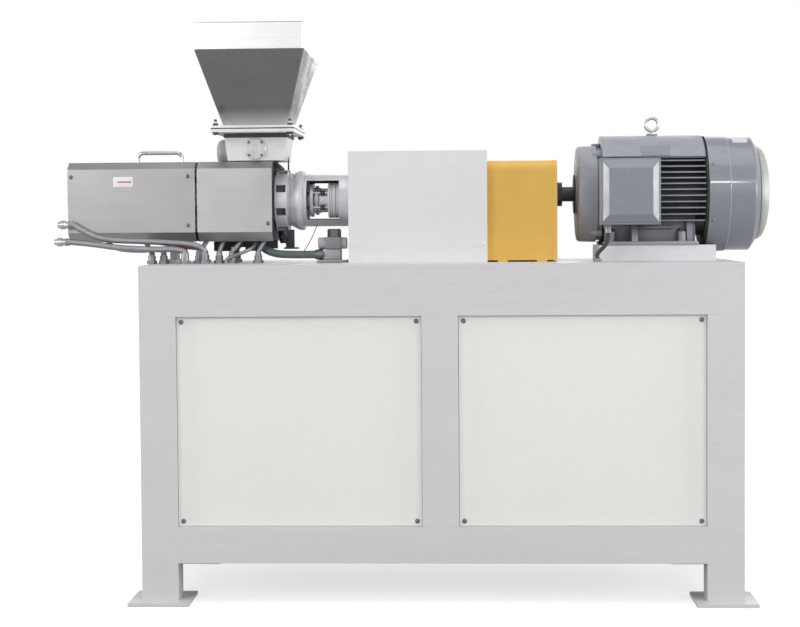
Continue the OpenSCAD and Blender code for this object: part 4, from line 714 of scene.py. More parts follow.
@dataclass(frozen=True)
class Rubber:
    """Matt rubber or plastic with a dusty bloom and fine grain."""

    name: str
    colour: Colour
    roughness: float = 0.62

    def material(self) -> bpy.types.Material:
        """Make the material.

        Returns:
            The material.
        """
        look = Shader(self.name, self.colour, self.roughness)
        bloom = look.noise(scale=45, detail=5, rough=0.65)
        look.mottle(toned(self.colour, 0.7, lift=0.12), bloom, (0.48, 0.75), share=0.5)
        sheen = look.noise(scale=80, detail=3)
        look.drive("Roughness", look.dulled(self.roughness, sheen, less=0.12, more=0.1))
        look.relief(look.noise(scale=900, detail=2), depth=0.00008, strength=0.5)
        return look.material


@dataclass(frozen=True)
class Windings:
    """Enamelled copper wire in fine turns."""

    name: str
    colour: Colour

    def material(self) -> bpy.types.Material:
        """Make the material.

        Returns:
            The material.
        """
        look = Shader(self.name, self.colour, roughness=0.4, metallic=0.7)
        turns = look.noise(scale=1.0, stretch=(40, 900, 900), detail=2, rough=0.5)
        look.mottle(toned(self.colour, 0.45), turns, (0.55, 0.4), share=0.9)
        look.relief(turns, depth=0.0003, strength=0.8)
        return look.material


Finish = Enamel | Casting | Brushed | Machined | Braid | Rubber | Windings


@dataclass(frozen=True)
class Finishes:
    """All finishes of the machine, each a material by name."""

    frame: Enamel = Enamel("frame_enamel", srgb(215, 213, 216), 0.44, streak=(0.35, 1, 2.4))
    panel: Enamel = Enamel("panel_enamel", srgb(240, 239, 236), 0.46, drift=0.02, rub=0.1)
    # The frame's enamel made lighter for the motor's bed, as painted light against the motor's shadow on it.
    bed: Enamel = Enamel("bed_enamel_painted_light", srgb(221, 220, 223), 0.44, drift=0.03)
    cover: Enamel = Enamel("cover_enamel", srgb(224, 224, 225), 0.42, drift=0.025, rub=0.12)
    guard: Enamel = Enamel("guard_enamel", srgb(224, 180, 88), 0.36, drift=0.04)
    motor: Enamel = Enamel("motor_enamel", srgb(134, 137, 146), 0.34, peel=0.00012, drift=0.06, rub=0.35,
                           coat=0.6)
    motor_cast: Casting = Casting("motor_cast_enamel", srgb(153, 155, 163), 0.5)
    # The cast frame in the motor casting's colour, with stronger and wider painted shade in its hollows,
    # which darkens its fin gaps and feet.
    motor_core: Casting = Casting("motor_core_painted_shade", srgb(153, 155, 163), 0.5, shade=0.85, reach=0.05)
    gloss: Enamel = Enamel("lid_enamel", srgb(136, 140, 148), 0.2, peel=0.00008, drift=0.05, rub=0.3,
                           edge=0.0018)
    shield: Brushed = Brushed("shield_steel", srgb(172, 170, 171), 0.38)
    rear_shield: Brushed = Brushed("rear_shield_steel", srgb(188, 186, 187), 0.4)
    # The cone's darker colour is a painted dark reflection of the room, with the flange's reflection painted
    # near its foot.
    cone: Brushed = Brushed("cone_steel_painted_dark_reflection", srgb(134, 131, 132), 0.36, (3, 3, 300), 0.12, foot=(1.186, 1.232))
    # The collar's near white is a painted highlight on the same stainless as the cone.
    collar: Brushed = Brushed("collar_steel_painted_highlight", srgb(246, 246, 247), 0.26, (3, 3, 300), 0.02, line=0.06)
    rim: Brushed = Brushed("rim_steel", srgb(170, 170, 172), 0.4, (3, 3, 300), 0.1)
    polished: Machined = Machined("polished_steel", srgb(206, 206, 209), 0.16, (60, 60, 60), stain=0.08)
    satin: Machined = Machined("satin_steel", srgb(226, 225, 226), 0.42, (8, 8, 500), 0.45, stain=0.14)
    lid: Machined = Machined("cover_disc_steel", srgb(206, 205, 206), 0.4, (8, 8, 8), 0.6, stain=0.2)
    ring: Machined = Machined("ring_steel", srgb(214, 214, 218), 0.42, (520, 5, 5), 0.4, 0.2)
    drive: Casting = Casting("drive_cast", srgb(176, 174, 176), 0.45, shade=0.4)
    valve: Casting = Casting("valve_cast", srgb(136, 142, 141), 0.45, shade=0.4)
    # Dark matt finish: the shield's insulation, and also the painted shade of the band under the flange, the
    # ring behind the cowl, the lantern's plates and the pocket blocks.
    liner: Rubber = Rubber("insulation", srgb(72, 70, 72), 0.7)
    screw: Machined = Machined("screw_steel", srgb(122, 121, 123), 0.38, (90, 90, 90), 0.8, 0.3)
    gland: Machined = Machined("gland_zinc", srgb(150, 150, 154), 0.42, (90, 90, 90), 0.75, 0.3)
    gland_dark: Machined = Machined("gland_dark_zinc", srgb(112, 113, 117), 0.42, (90, 90, 90), 0.7, 0.3)
    # Lighter than the cowl, as a painted highlight along the seam's bead.
    seam: Enamel = Enamel("seam_enamel_painted_highlight", srgb(176, 178, 184), 0.3, rub=0.4, coat=0.6)
    tag: Enamel = Enamel("tag_enamel", srgb(216, 208, 216), 0.42, drift=0.02, rub=0.05, edge=0.0004)
    white: Enamel = Enamel("plate_white", srgb(236, 236, 236), 0.4, drift=0.01, rub=0.05, edge=0.0004)
    plate_grey: Casting = Casting("plate_alloy", srgb(140, 142, 150), 0.46, 0.0001)
    wire_brown: Rubber = Rubber("sensor_wire_brown", srgb(150, 112, 84), 0.5)
    lantern: Machined = Machined("lantern_steel", srgb(214, 214, 218), 0.42, (520, 5, 5), 0.5, stain=0.18)
    turned: Machined = Machined("turned_steel", srgb(176, 176, 179), 0.28)
    zinc: Machined = Machined("zinc_plate", srgb(198, 199, 202), 0.3, (60, 60, 60), stain=0.3)
    black: Machined = Machined("black_oxide", srgb(70, 74, 78), 0.4, (90, 90, 90), 0.85, 0.35)
    gear: Machined = Machined("gear_steel", srgb(150, 150, 155), 0.26)
    cast: Casting = Casting("cast_iron", srgb(122, 124, 127), 0.55, 0.0005)
    alloy: Casting = Casting("cast_alloy", srgb(170, 172, 174), 0.42, 0.0003, 0.6)
    bronze: Machined = Machined("bush_bronze", srgb(176, 136, 88), 0.3)
    hose: Rubber = Rubber("hose_rubber", srgb(88, 98, 98), 0.58)
    rubber: Rubber = Rubber("black_rubber", srgb(52, 54, 56))
    spider: Rubber = Rubber("coupling_rubber", srgb(150, 52, 44), 0.5)
    lacquer: Enamel = Enamel("red_lacquer", srgb(178, 44, 40), 0.3, rub=0.5)
    copper: Windings = Windings("stator_windings", srgb(176, 98, 60))
    wire: Machined = Machined("grille_wire", srgb(190, 194, 190), 0.42, (80, 80, 80), 0.35, 0.12)
    made: dict = field(default_factory=dict)

    def get(self, finish: Finish) -> bpy.types.Material:
        """The material of a finish, made once.

        Args:
            finish: The finish.

        Returns:
            Its material.
        """
        if finish.name not in self.made:
            self.made[finish.name] = finish.material()
        return self.made[finish.name]


FINISH = Finishes()


def build(name: str, solids: list[Solid], finish: Finish, sharp: float = 32.0,
          replaces: str = "", body: str = "machine") -> bpy.types.Object:
    """Make one piece of the machine from closed surfaces.

    Args:
        name: The piece's name.
        solids: Its closed surfaces.
        finish: What it is finished in.
        sharp: Angle in degrees above which an edge stays crisp.
        replaces: The CAD node that it stands for, if any.
        body: The CAD body that it moves with.

    Returns:
        The piece.
    """
    shift = np.cumsum([0] + [len(s.points) for s in solids[:-1]])
    points = np.concatenate([s.points for s in solids])
    quads = np.concatenate([s.quads + k for s, k in zip(solids, shift)])
    tris = np.concatenate([s.tris + k for s, k in zip(solids, shift)])
    mesh = bpy.data.meshes.new(name)
    mesh.from_pydata(points.tolist(), [], quads.tolist() + tris.tolist())
    corners = np.concatenate([s.chart for s in solids]).reshape(-1, 2)
    chart = np.concatenate([corners, np.zeros((len(tris) * 3, 2))])
    mesh.uv_layers.new(name="UVMap").data.foreach_set("uv", chart.astype(np.float32).ravel())
    mesh.shade_smooth()
    mesh.set_sharp_from_angle(angle=math.radians(sharp))
    mesh.materials.append(FINISH.get(finish))
    piece = bpy.data.objects.new(name, mesh)
    bpy.context.scene.collection.objects.link(piece)
    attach(piece, body)
    if replaces:
        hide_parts(replaces)
    LOG.info("%s: %d faces on %s", name, len(mesh.polygons), body)
    return piece


def dress(finish: Finish, *nodes: str) -> None:
    """Give CAD nodes a finish.

    Args:
        finish: What they are finished in.
        nodes: Their names.
    """
    for name in nodes:
        materials = frame["nodes"][name].data.materials
        materials.clear()
        materials.append(FINISH.get(finish))
        LOG.info("%s: dressed in %s", name, finish.name)


# The studio


@dataclass
class Studio:
    """Camera at the photograph's place, soft lamps, and a white floor and background."""

    eye: Point = (0.15225, -4.4428, 0.93337)
    yaw: float = -0.0419
    pitch: float = 0.0439
    roll: float = -0.0076
    lens: float = 76.5
    sensor: float = 36.0
    shift: float = -0.01827
    clip: Pair = (0.1, 100.0)
    ambient: float = 0.41
    overhead: float = 0.42
    target: Point = (0, 0, 0.8)
    floor_half: float = 40.0
    floor_z: float = -0.0004
    floor_tone: float = 0.46
    floor_mirrored: float = 0.17
    floor_fade: Pair = (0.9, 2.6)
    floor_glow: Pair = (0.68, 1.0)
    lamps: tuple = (
        ("lamp_left", (-2.9, -3.9, 2.3), 2.2, 54),
        ("lamp_right", (3.1, -3.6, 2.0), 2.0, 46),
        ("lamp_top", (0.2, -0.6, 3.6), 2.6, 35),
        ("lamp_back", (0.4, 3.4, 2.4), 2.6, 36),
        ("lamp_side_left", (-4.4, -0.9, 1.3), 1.1, 54),
        ("lamp_side_right", (4.8, -0.9, 1.3), 1.1, 78),
        ("lamp_small", (1.35, -3.85, 2.41), 0.2, 5))

    def camera(self) -> None:
        """Place the camera, with its axes turned by the yaw, the pitch and the roll."""
        cos_yaw, sin_yaw = math.cos(self.yaw), math.sin(self.yaw)
        cos_pitch, sin_pitch = math.cos(self.pitch), math.sin(self.pitch)
        cos_roll, sin_roll = math.cos(self.roll), math.sin(self.roll)
        ahead = Vector((sin_yaw * cos_pitch, cos_yaw * cos_pitch, -sin_pitch))
        level = Vector((cos_yaw, -sin_yaw, 0))
        steep = level.cross(ahead)
        right, up = cos_roll * level + sin_roll * steep, cos_roll * steep - sin_roll * level
        data = bpy.data.cameras.new("camera")
        data.lens, data.sensor_width, data.shift_y = self.lens, self.sensor, self.shift
        data.clip_start, data.clip_end = self.clip
        camera = bpy.data.objects.new("camera", data)
        turn = Matrix((right, up, -ahead)).transposed().to_4x4()
        camera.matrix_world = Matrix.Translation(self.eye) @ turn
        bpy.context.scene.collection.objects.link(camera)
        bpy.context.scene.camera = camera

    def lamp(self, name: str, place: Point, size: float, power: float) -> None:
        """Hang a square soft lamp that shines at the machine.

        Args:
            name: The lamp's name.
            place: Where it hangs.
            size: Side of its square.
            power: Its power in watts.
        """
        data = bpy.data.lights.new(name, "AREA")
        data.size, data.energy = size, power
        lamp = bpy.data.objects.new(name, data)
        lamp.location = place
        lamp.rotation_euler = (Vector(self.target) - Vector(place)).to_track_quat("-Z", "Y").to_euler()
        bpy.context.scene.collection.objects.link(lamp)

    def background(self) -> None:
        """White for the camera and for glass, darker overhead in mirrors, and soft light for the rest."""
        world = bpy.data.worlds.new("studio")
        bpy.context.scene.world = world
        world.use_nodes = True
        sky = Nodes(world.node_tree)
        path = sky.add("LightPath").outputs
        up = sky.add("SeparateXYZ", Vector=sky.add("TexCoord").outputs["Generated"]).outputs["Z"]
        shade = sky.range(up, (0.15, 0.85), (1.0, self.overhead))
        mirrored = sky.joined("MULTIPLY", path["Is Glossy Ray"], shade)
        soft = sky.joined("MULTIPLY", path["Is Diffuse Ray"], self.ambient)
        seen = sky.joined("ADD", path["Is Camera Ray"], path["Is Transmission Ray"])
        strength = sky.joined("ADD", sky.joined("ADD", mirrored, soft), seen)
        backdrop = sky.tree.nodes["Background"].inputs
        sky.tree.links.new(strength, backdrop["Strength"])
        backdrop["Color"].default_value = (1, 1, 1, 1)

    def floor(self) -> None:
        """A wide pale floor that shows white and keeps the machine's shadow."""
        mesh = bpy.data.meshes.new("floor")
        half, z = self.floor_half, self.floor_z
        corners = [(-half, -half, z), (half, -half, z), (half, half, z), (-half, half, z)]
        mesh.from_pydata(corners, [], [(0, 1, 2, 3)])
        look = Shader("floor_white", (self.floor_tone,) * 3, roughness=0.9)
        path = look.add("LightPath").outputs
        mirrored = look.joined("MULTIPLY", path["Is Glossy Ray"], self.floor_mirrored)
        seen = look.joined("ADD", path["Is Camera Ray"], mirrored)
        away = look.add("VectorMath", {"operation": "LENGTH"}, i0=look.place()).outputs["Value"]
        strength = look.joined("MULTIPLY", seen, look.range(away, self.floor_fade, self.floor_glow))
        glow = look.add("Emission", Color=(1, 1, 1, 1), Strength=strength)
        both = look.add("AddShader", i0=look.surface.outputs[0], i1=glow.outputs[0])
        look.tree.links.new(both.outputs[0], look.tree.nodes["Material Output"].inputs["Surface"])
        mesh.materials.append(look.material)
        floor = bpy.data.objects.new("floor", mesh)
        bpy.context.scene.collection.objects.link(floor)

    def build(self) -> None:
        """Set up the whole studio."""
        bpy.context.scene.view_settings.view_transform = "Standard"
        self.camera()
        self.background()
        self.floor()
        for lamp in self.lamps:
            self.lamp(*lamp)


# Shapes that several pieces share


def circle(centre: Point, radius: float, count: int, u: Point, v: Point) -> Array:
    """Points of a circle that lies along u and v."""
    turn = np.linspace(0, 2 * np.pi, count, endpoint=False)[:, None]
    return np.array(centre) + radius * (np.cos(turn) * np.array(u) + np.sin(turn) * np.array(v))


def hooped(profile: Profile, x: float, z: float, sides: int) -> Solid:
    """Ring of a closed profile about an axis along X at a height."""
    return turned(profile, (x, 0, z), AXIS_X, sides, ring=True)


def wire_hoop(x: float, z: float, radius: float, count: int, wire: float, sides: int) -> Solid:
    """Hoop of round wire about an axis along X at a height."""
    return swept(circle((x, 0, z), radius, count, AXIS_Y, AXIS_Z), wire, sides, ring=True, across=AXIS_X)


def boxed_ring(rows: list[tuple[Array, float]], x: float) -> Solid:
    """Frame or shell of level outlines about an upright axis at an X."""
    return lofted(rows, (x, 0, 0), AXIS_X, AXIS_Y, ring=True)


def side_heads(x: float, half: float, z: float, size: Pair, kind: Head = Head.BUTTON) -> list[Solid]:
    """Two screw heads at one place of both sides, facing outwards, with a width and a height."""
    return [screw_head((x, side * half, z), (0, side, 0), *size, kind) for side in SIDES]


def bowed(ends: Pair, radius: float, edges: Pair, thick: float, centre_z: float) -> Solid:
    """Thin plate that lies on a drum whose axis runs along X.

    A point is at the drum's radius, or thick above or below it, at an angle from the top towards the
    operator.

    Args:
        ends: Where the plate starts and ends along X.
        radius: Radius of the drum.
        edges: Its upper and lower edge, in degrees from the top.
        thick: Half its thickness.
        centre_z: Height of the drum's axis.

    Returns:
        The closed plate.
    """
    turn = np.radians(np.linspace(*edges, 10))
    side = np.stack([-np.sin(turn), np.cos(turn)], -1)
    loop = np.concatenate([(radius + thick) * side, ((radius - thick) * side)[::-1]])
    x0, x1 = ends
    x = np.array([x0, x0 * 0.5 + x1 * 0.5, x1])
    shape = (len(x), len(loop))
    grid = np.concatenate([np.broadcast_to(x[:, None, None], (*shape, 1)),
                           np.broadcast_to(loop + np.array([0, centre_z]), (*shape, 2))], -1)
    return skin(grid)


def bent(ends: Pair, low: float, top: float, bend: float) -> Array:
    """Two coordinates of a path that goes up, round, along, round and down, with round shoulders.

    A shoulder is a quarter circle about a centre that lies in from the side and the top by its radius.

    Args:
        ends: Where its feet stand along the first coordinate.
        low: Height of its feet.
        top: Height of its crown.
        bend: Radius of its shoulders.

    Returns:
        The points of the path.
    """
    x0, x1 = ends
    turn = np.linspace(0, np.pi / 2, 9)
    rise = top - bend + bend * np.sin(turn)
    left = np.stack([x0 + bend - bend * np.cos(turn), rise], -1)
    right = np.stack([x1 - bend + bend * np.cos(turn), rise], -1)[::-1]
    return np.concatenate([[[x0, low]], left, right, [[x1, low]]])


def rectangle(height: float, width: float) -> Array:
    """Section of a flat strip, about its middle."""
    return np.array([[height, width], [-height, width], [-height, -width], [height, -width]]) / 2


# Cords


@dataclass
class Cords:
    """Conduits of the heaters and the die, the water hose, the motor cable and a wire, held at both ends."""

    conduit_r: float = 0.006
    die_r: float = 0.0075
    hose_r: float = 0.01
    cable_r: float = 0.005
    wire_r: float = 0.0011
    conduits: tuple = (
        ((-0.802, -0.02, 0.9171), (-0.802, -0.02, 0.907), (-0.792, -0.034, 0.8881), (-0.76, -0.048, 0.874),
         (-0.7059, -0.056, 0.87), (-0.6639, -0.066, 0.872), (-0.646, -0.078, 0.87), (-0.64, -0.082, 0.862),
         (-0.64, -0.082, 0.856)),
        ((-0.694, -0.025, 0.9171), (-0.694, -0.025, 0.908), (-0.693, -0.044, 0.897),
         (-0.688, -0.066, 0.889), (-0.6779, -0.086, 0.878), (-0.669, -0.097, 0.868),
         (-0.668, -0.098, 0.862), (-0.668, -0.098, 0.856)),
        ((-0.694, 0.02, 0.9171), (-0.694, 0.02, 0.908), (-0.686, 0.0359, 0.894), (-0.6601, 0.0539, 0.886),
         (-0.61, 0.0581, 0.878), (-0.5661, 0.053, 0.872), (-0.552, 0.05, 0.863), (-0.552, 0.05, 0.856)),
        ((-0.52, -0.038, 0.9471), (-0.52, -0.038, 0.938), (-0.522, -0.0502, 0.92),
         (-0.5298, -0.0619, 0.8961), (-0.5408, -0.0758, 0.876), (-0.549, -0.083, 0.864),
         (-0.549, -0.083, 0.856)),
        ((-0.4779, -0.038, 0.9471), (-0.4779, -0.038, 0.938), (-0.48, -0.0498, 0.92),
         (-0.4859, -0.062, 0.8961), (-0.4939, -0.072, 0.874), (-0.4969, -0.075, 0.864),
         (-0.4969, -0.075, 0.856)),
        ((-0.4299, -0.038, 0.9471), (-0.4299, -0.038, 0.938), (-0.4309, -0.0481, 0.92),
         (-0.4398, -0.0639, 0.8961), (-0.454, -0.0788, 0.876), (-0.4629, -0.086, 0.864),
         (-0.4629, -0.086, 0.856)),
        ((-0.3719, -0.038, 0.9471), (-0.3719, -0.038, 0.938), (-0.3719, -0.0459, 0.922),
         (-0.3759, -0.0609, 0.902), (-0.386, -0.0732, 0.882), (-0.395, -0.082, 0.864),
         (-0.395, -0.082, 0.856)),
        ((-0.446, 0.03, 0.9471), (-0.446, 0.03, 0.938), (-0.447, 0.0458, 0.918), (-0.454, 0.062, 0.8921),
         (-0.4681, 0.066, 0.872), (-0.47, 0.066, 0.864), (-0.47, 0.066, 0.856)))
    die_leads: tuple = (
        ((-0.876, -0.122, 0.938), (-0.866, -0.122, 0.938), (-0.8459, -0.122, 0.926),
         (-0.812, -0.122, 0.909), (-0.7701, -0.121, 0.899), (-0.6999, -0.119, 0.895),
         (-0.6199, -0.117, 0.891), (-0.5659, -0.114, 0.886), (-0.5358, -0.111, 0.876),
         (-0.53, -0.11, 0.864), (-0.53, -0.11, 0.856)),
        ((-0.884, -0.126, 0.8939), (-0.8721, -0.126, 0.8939), (-0.8399, -0.126, 0.8909),
         (-0.7998, -0.126, 0.886), (-0.7399, -0.126, 0.878), (-0.66, -0.126, 0.8738),
         (-0.6101, -0.124, 0.8738), (-0.5828, -0.122, 0.8689), (-0.578, -0.122, 0.8621),
         (-0.578, -0.122, 0.856)))
    hose: tuple = (
        (-0.243, -0.06, 0.857), (-0.256, -0.06, 0.857), (-0.3, -0.06, 0.857), (-0.3501, -0.0579, 0.86),
        (-0.384, -0.0501, 0.874), (-0.4, -0.0381, 0.8981), (-0.404, -0.03, 0.924), (-0.404, -0.03, 0.9471))
    cable: tuple = (
        (0.495, -0.175, 0.908), (0.495, -0.175, 0.892), (0.487, -0.175, 0.876), (0.469, -0.175, 0.8562),
        (0.469, -0.175, 0.844))
    wire: tuple = (
        (-0.2483, -0.02, 0.9325), (-0.255, -0.03, 0.913), (-0.266, -0.046, 0.888), (-0.2791, -0.058, 0.866))
    ferrule: Profile = ((0, 1.3), (0.006, 1.3), (0.0075, 1.15), (0.011, 1.15), (0.012, 1.02))
    conduit_braid: Braid = Braid("conduit_braid", srgb(176, 176, 180), conduit_r, 8)
    die_braid: Braid = Braid("die_lead_braid", srgb(170, 170, 174), die_r, 10)

    def lay(self, name: str, route: tuple, radius: float, finish: Finish, node: str,
            steps: int, sides: int = 16) -> None:
        """Args:
            name: The piece's name.
            route: The points that it passes through.
            radius: Its radius.
            finish: What it is made of.
            node: The CAD node that it stands for, if any.
            steps: Steps between two of the route's points.
            sides: Points round it.
        """
        path = smooth_route(route, steps)
        piece = build(name, [swept(path, radius, sides)], finish, sharp=60, replaces=node)
        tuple(route[0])

    def ferrules(self, name: str, routes: tuple, radius: float) -> None:
        """Put a crimped collar round both ends of each conduit.

        Args:
            name: The piece's name.
            routes: The conduits' routes.
            radius: Their radius, which the collar's profile multiplies.
        """
        profile = [(station, radius * share) for station, share in self.ferrule]
        ends = [(np.array(end), np.array(inner)) for route in routes
                for end, inner in ((route[0], route[1]), (route[-1], route[-2]))]
        solids = [turned(profile, tuple(end), tuple(inner - end), 20) for end, inner in ends]
        build(name, solids, FINISH.gland, sharp=50)

    def build(self) -> None:
        """Lay all the cords and put their ferrules on."""
        for i, route in enumerate(self.conduits):
            self.lay(f"heater_conduit_{i + 1}", route, self.conduit_r, self.conduit_braid,
                     "heater_conduits", 6)
        for i, route in enumerate(self.die_leads):
            self.lay(f"die_conduit_{i + 1}", route, self.die_r, self.die_braid, "die_conduits", 6)
        self.lay("cooling_hose", self.hose, self.hose_r, FINISH.hose, "water_hose", 10, 24)
        self.lay("supply_cable", self.cable, self.cable_r, FINISH.rubber, "motor_cable", 8)
        self.lay("sensor_wire", self.wire, self.wire_r, FINISH.wire_brown, "", 8, 8)
        self.ferrules("conduit_ferrules", self.conduits, self.conduit_r)
        self.ferrules("die_lead_ferrules", self.die_leads, self.die_r)
        dress(FINISH.gland, "cable_glands")
        dress(FINISH.zinc, "die_connectors")


# The machine, part by part


class TableFrame:
    """Welded table frame with its panels and feet."""

    def build(self) -> None:
        """Dress the frame, its panels and their screws."""
        dress(FINISH.frame, "table_top", "top_rails", "bottom_rails", "posts", "foot_plates")
        dress(FINISH.panel, "front_panels", "side_panels")
        dress(FINISH.screw, "panel_screws")


@dataclass
class HeatShields:
    """Brushed covers over the barrel: the front one lifts by its handle."""

    half: float = 0.105
    top: float = BARREL_Z + 0.1
    handle_x: float = -0.660925
    handle_reach: float = 0.058
    handle_sink: float = 0.001
    handle_rise: float = 0.027
    handle_bend: float = 0.014
    handle_r: float = 0.005
    handle_foot: Profile = ((-0.001, 0.0085), (0.0015, 0.0085), (0.0025, 0.0075), (0.0025, 0.004))
    screw_x: Pair = (-0.8735, -0.5715)
    screw_z: Pair = (0.9345, 1.0600)
    screw_size: Pair = (0.0105, 0.0042)
    rear_screw: Point = (-0.3665, 0.105, 0.9382)
    liner_x: float = -0.356
    liner_depth: Pair = (-0.0045, -0.001)
    liner_hole: float = 0.07
    liner_corners: tuple = (
        (-0.103, -0.079), (-0.079, -0.103), (0.079, -0.103), (0.103, -0.079),
        (0.103, 0.08), (0.08, 0.098), (-0.08, 0.098), (-0.103, 0.08))
    trim_section: Profile = ((-0.3585, 0.1055), (-0.3365, 0.0868), (-0.3390, 0.0845), (-0.3585, 0.1020))
    trim_lean: float = 24
    trim_braid: Braid = Braid("trim_braid", srgb(104, 104, 108), 0.004, 5)
    tag: tuple = ((-0.7644, -0.1058, 1.0339), (-0.7130, -0.105, 1.0599), 0.003, 0.0003)
    stripe: tuple = ((-0.7530, -0.1061, 1.0452), (-0.7170, -0.1056, 1.0482), 0.001, 0.0001)

    def handle(self) -> None:
        """Bow handle of round bar, with a small collar at each foot."""
        ends = (self.handle_x - self.handle_reach, self.handle_x + self.handle_reach)
        flat = bent(ends, self.top - self.handle_sink, self.top + self.handle_rise, self.handle_bend)
        bow = swept(np.insert(flat, 1, 0.0, axis=1), self.handle_r, 20)
        feet = [turned(self.handle_foot, (x, 0, self.top), AXIS_Z, 24) for x in ends]
        build("lifting_handle", [bow, *feet], FINISH.polished, sharp=50,
              replaces="shield_handle", body="lifting_shield")

    def liner(self) -> None:
        """Dark insulation just inside the rear shield's end, with a round opening for the barrel.

        Each side of the outer outline is cut into eight, and the opening's points lie on the same rays at
        its radius.
        """
        corners = np.array(self.liner_corners)
        share = np.linspace(0, 1, 8, endpoint=False)[None, :, None]
        outer = (corners[:, None] * (1 - share) + np.roll(corners, -1, 0)[:, None] * share).reshape(-1, 2)
        inner = self.liner_hole * outer / np.linalg.norm(outer, axis=1)[:, None]
        back, face = self.liner_depth
        rows = [(outer, back), (outer, face), (inner, face), (inner, back)]
        ring = lofted(rows, (self.liner_x, 0, BARREL_Z), AXIS_Y, AXIS_Z, ring=True)
        build("shield_liner", [ring], FINISH.liner, sharp=30)

    def trim(self) -> None:
        """Woven strip over the barrel at the rear shield's end: a sloping section carried along an arc."""
        turn = np.radians(np.linspace(-self.trim_lean, self.trim_lean, 17))[:, None]
        x, r = np.array(self.trim_section).T
        across = r * np.sin(turn)
        grid = np.stack([np.broadcast_to(x, across.shape), across, BARREL_Z + r * np.cos(turn)], -1)
        build("shield_trim", [skin(grid)], self.trim_braid, sharp=30)

    def screws(self) -> None:
        """Screws in the sides of both shields."""
        heads = [head for x in self.screw_x for z in self.screw_z
                 for head in side_heads(x, self.half, z, self.screw_size)]
        build("shield_screws", heads, FINISH.screw, body="lifting_shield")
        build("rear_shield_screws", side_heads(*self.rear_screw, self.screw_size), FINISH.screw)

    def build(self) -> None:
        """Dress the shields and add the handle, the screws, the liner, the trim and a plain plate."""
        dress(FINISH.shield, "front_shield")
        dress(FINISH.rear_shield, "rear_shield")
        self.handle()
        self.liner()
        self.trim()
        self.screws()
        build("blank_plate", [plate(*self.tag, AXIS_Y)], FINISH.white, body="lifting_shield")
        build("plate_stripe", [plate(*self.stripe, AXIS_Y)], FINISH.lacquer, body="lifting_shield")


@dataclass
class Hopper:
    """Feed hopper of folded sheet on its flange, with studs and nuts."""

    flange_z: Pair = (1.18076, 1.18676)
    cone_top: float = 1.37376
    top: float = 1.44076
    flange: Pair = (0.212, 0.290)
    hole: Pair = (0.158, 0.166)
    flange_corner: float = 0.004
    flange_ease: float = 0.0006
    foot: Pair = (0.164, 0.172)
    rim: Pair = (0.276, 0.398)
    rim_height: float = 0.0022
    sheet: float = 0.003
    fold: Pair = (0.006, 0.003)
    bolt: Pair = (0.095, 0.134)
    stud_drop: float = 0.0195
    stud: Profile = ((0, 0.004), (0.036, 0.004), (0.038, 0.003))
    low_nut: tuple = (0.0135, 0.0065, Head.HEX)
    low_nut_drop: float = 0.011
    nut: tuple = (0.0125, 0.0055, Head.HEX)
    cap_rise: float = 0.0105
    cap: Profile = ((0, 0.0042), (0.004, 0.0042), (0.0055, 0.003))

    def shell(self, name: str, low: Pair, high: Pair, z0: float, z1: float, finish: Finish) -> None:
        """Four-sided shell of sheet between two outlines, round at its folds.

        Args:
            name: The piece's name.
            low: Length and width of its lower outline.
            high: Length and width of its upper outline.
            z0: Height of its lower edge.
            z1: Height of its upper edge.
            finish: What it is made of.
        """
        outer, inner = self.fold
        both = 2 * self.sheet
        a, b = rounded(*low, outer), rounded(*high, outer)
        c, d = (rounded(size[0] - both, size[1] - both, inner) for size in (high, low))
        rows = [(a, z0), (b, z1), (c, z1), (d, z0)]
        build(name, [boxed_ring(rows, FEED_X)], finish, sharp=25, replaces="hopper")

    def studs(self) -> None:
        """Four studs with their nuts above and below the flange, and the studs' round ends."""
        z0, z1 = self.flange_z
        places = [(FEED_X + sx * self.bolt[0], sy * self.bolt[1]) for sx in SIDES for sy in SIDES]
        studs = [turned(self.stud, (x, y, z0 - self.stud_drop), AXIS_Z, 16) for x, y in places]
        nuts = []
        for x, y in places:
            nuts.append(screw_head((x, y, z0 - self.low_nut_drop), (0, 0, -1), *self.low_nut))
            nuts.append(screw_head((x, y, z1), AXIS_Z, *self.nut))
            nuts.append(turned(self.cap, (x, y, z1 + self.cap_rise), AXIS_Z, 16))
        build("hopper_studs", studs, FINISH.zinc, sharp=30, replaces="hopper_bolts")
        build("hopper_nuts", nuts, FINISH.black, sharp=30, replaces="hopper_bolts")

    def build(self) -> None:
        """Make the flange, the cone, the collar, the rim and the studs."""
        z0, z1 = self.flange_z
        outer, inner = (rounded(*size, self.flange_corner) for size in (self.flange, self.hole))
        rows = [(outer, z0), (outer, z1 - self.flange_ease), (outer * 0.995, z1), (inner, z1), (inner, z0)]
        build("hopper_flange", [boxed_ring(rows, FEED_X)], FINISH.satin, sharp=30,
              replaces="hopper")
        rim_z = self.top - self.rim_height
        self.shell("hopper_cone", self.foot, self.rim, z1, self.cone_top, FINISH.cone)
        self.shell("hopper_collar", self.rim, self.rim, self.cone_top, rim_z, FINISH.collar)
        self.shell("hopper_rim", self.rim, self.rim, rim_z, self.top, FINISH.rim)
        dress(FINISH.rubber, "hopper_gasket")
        self.studs()


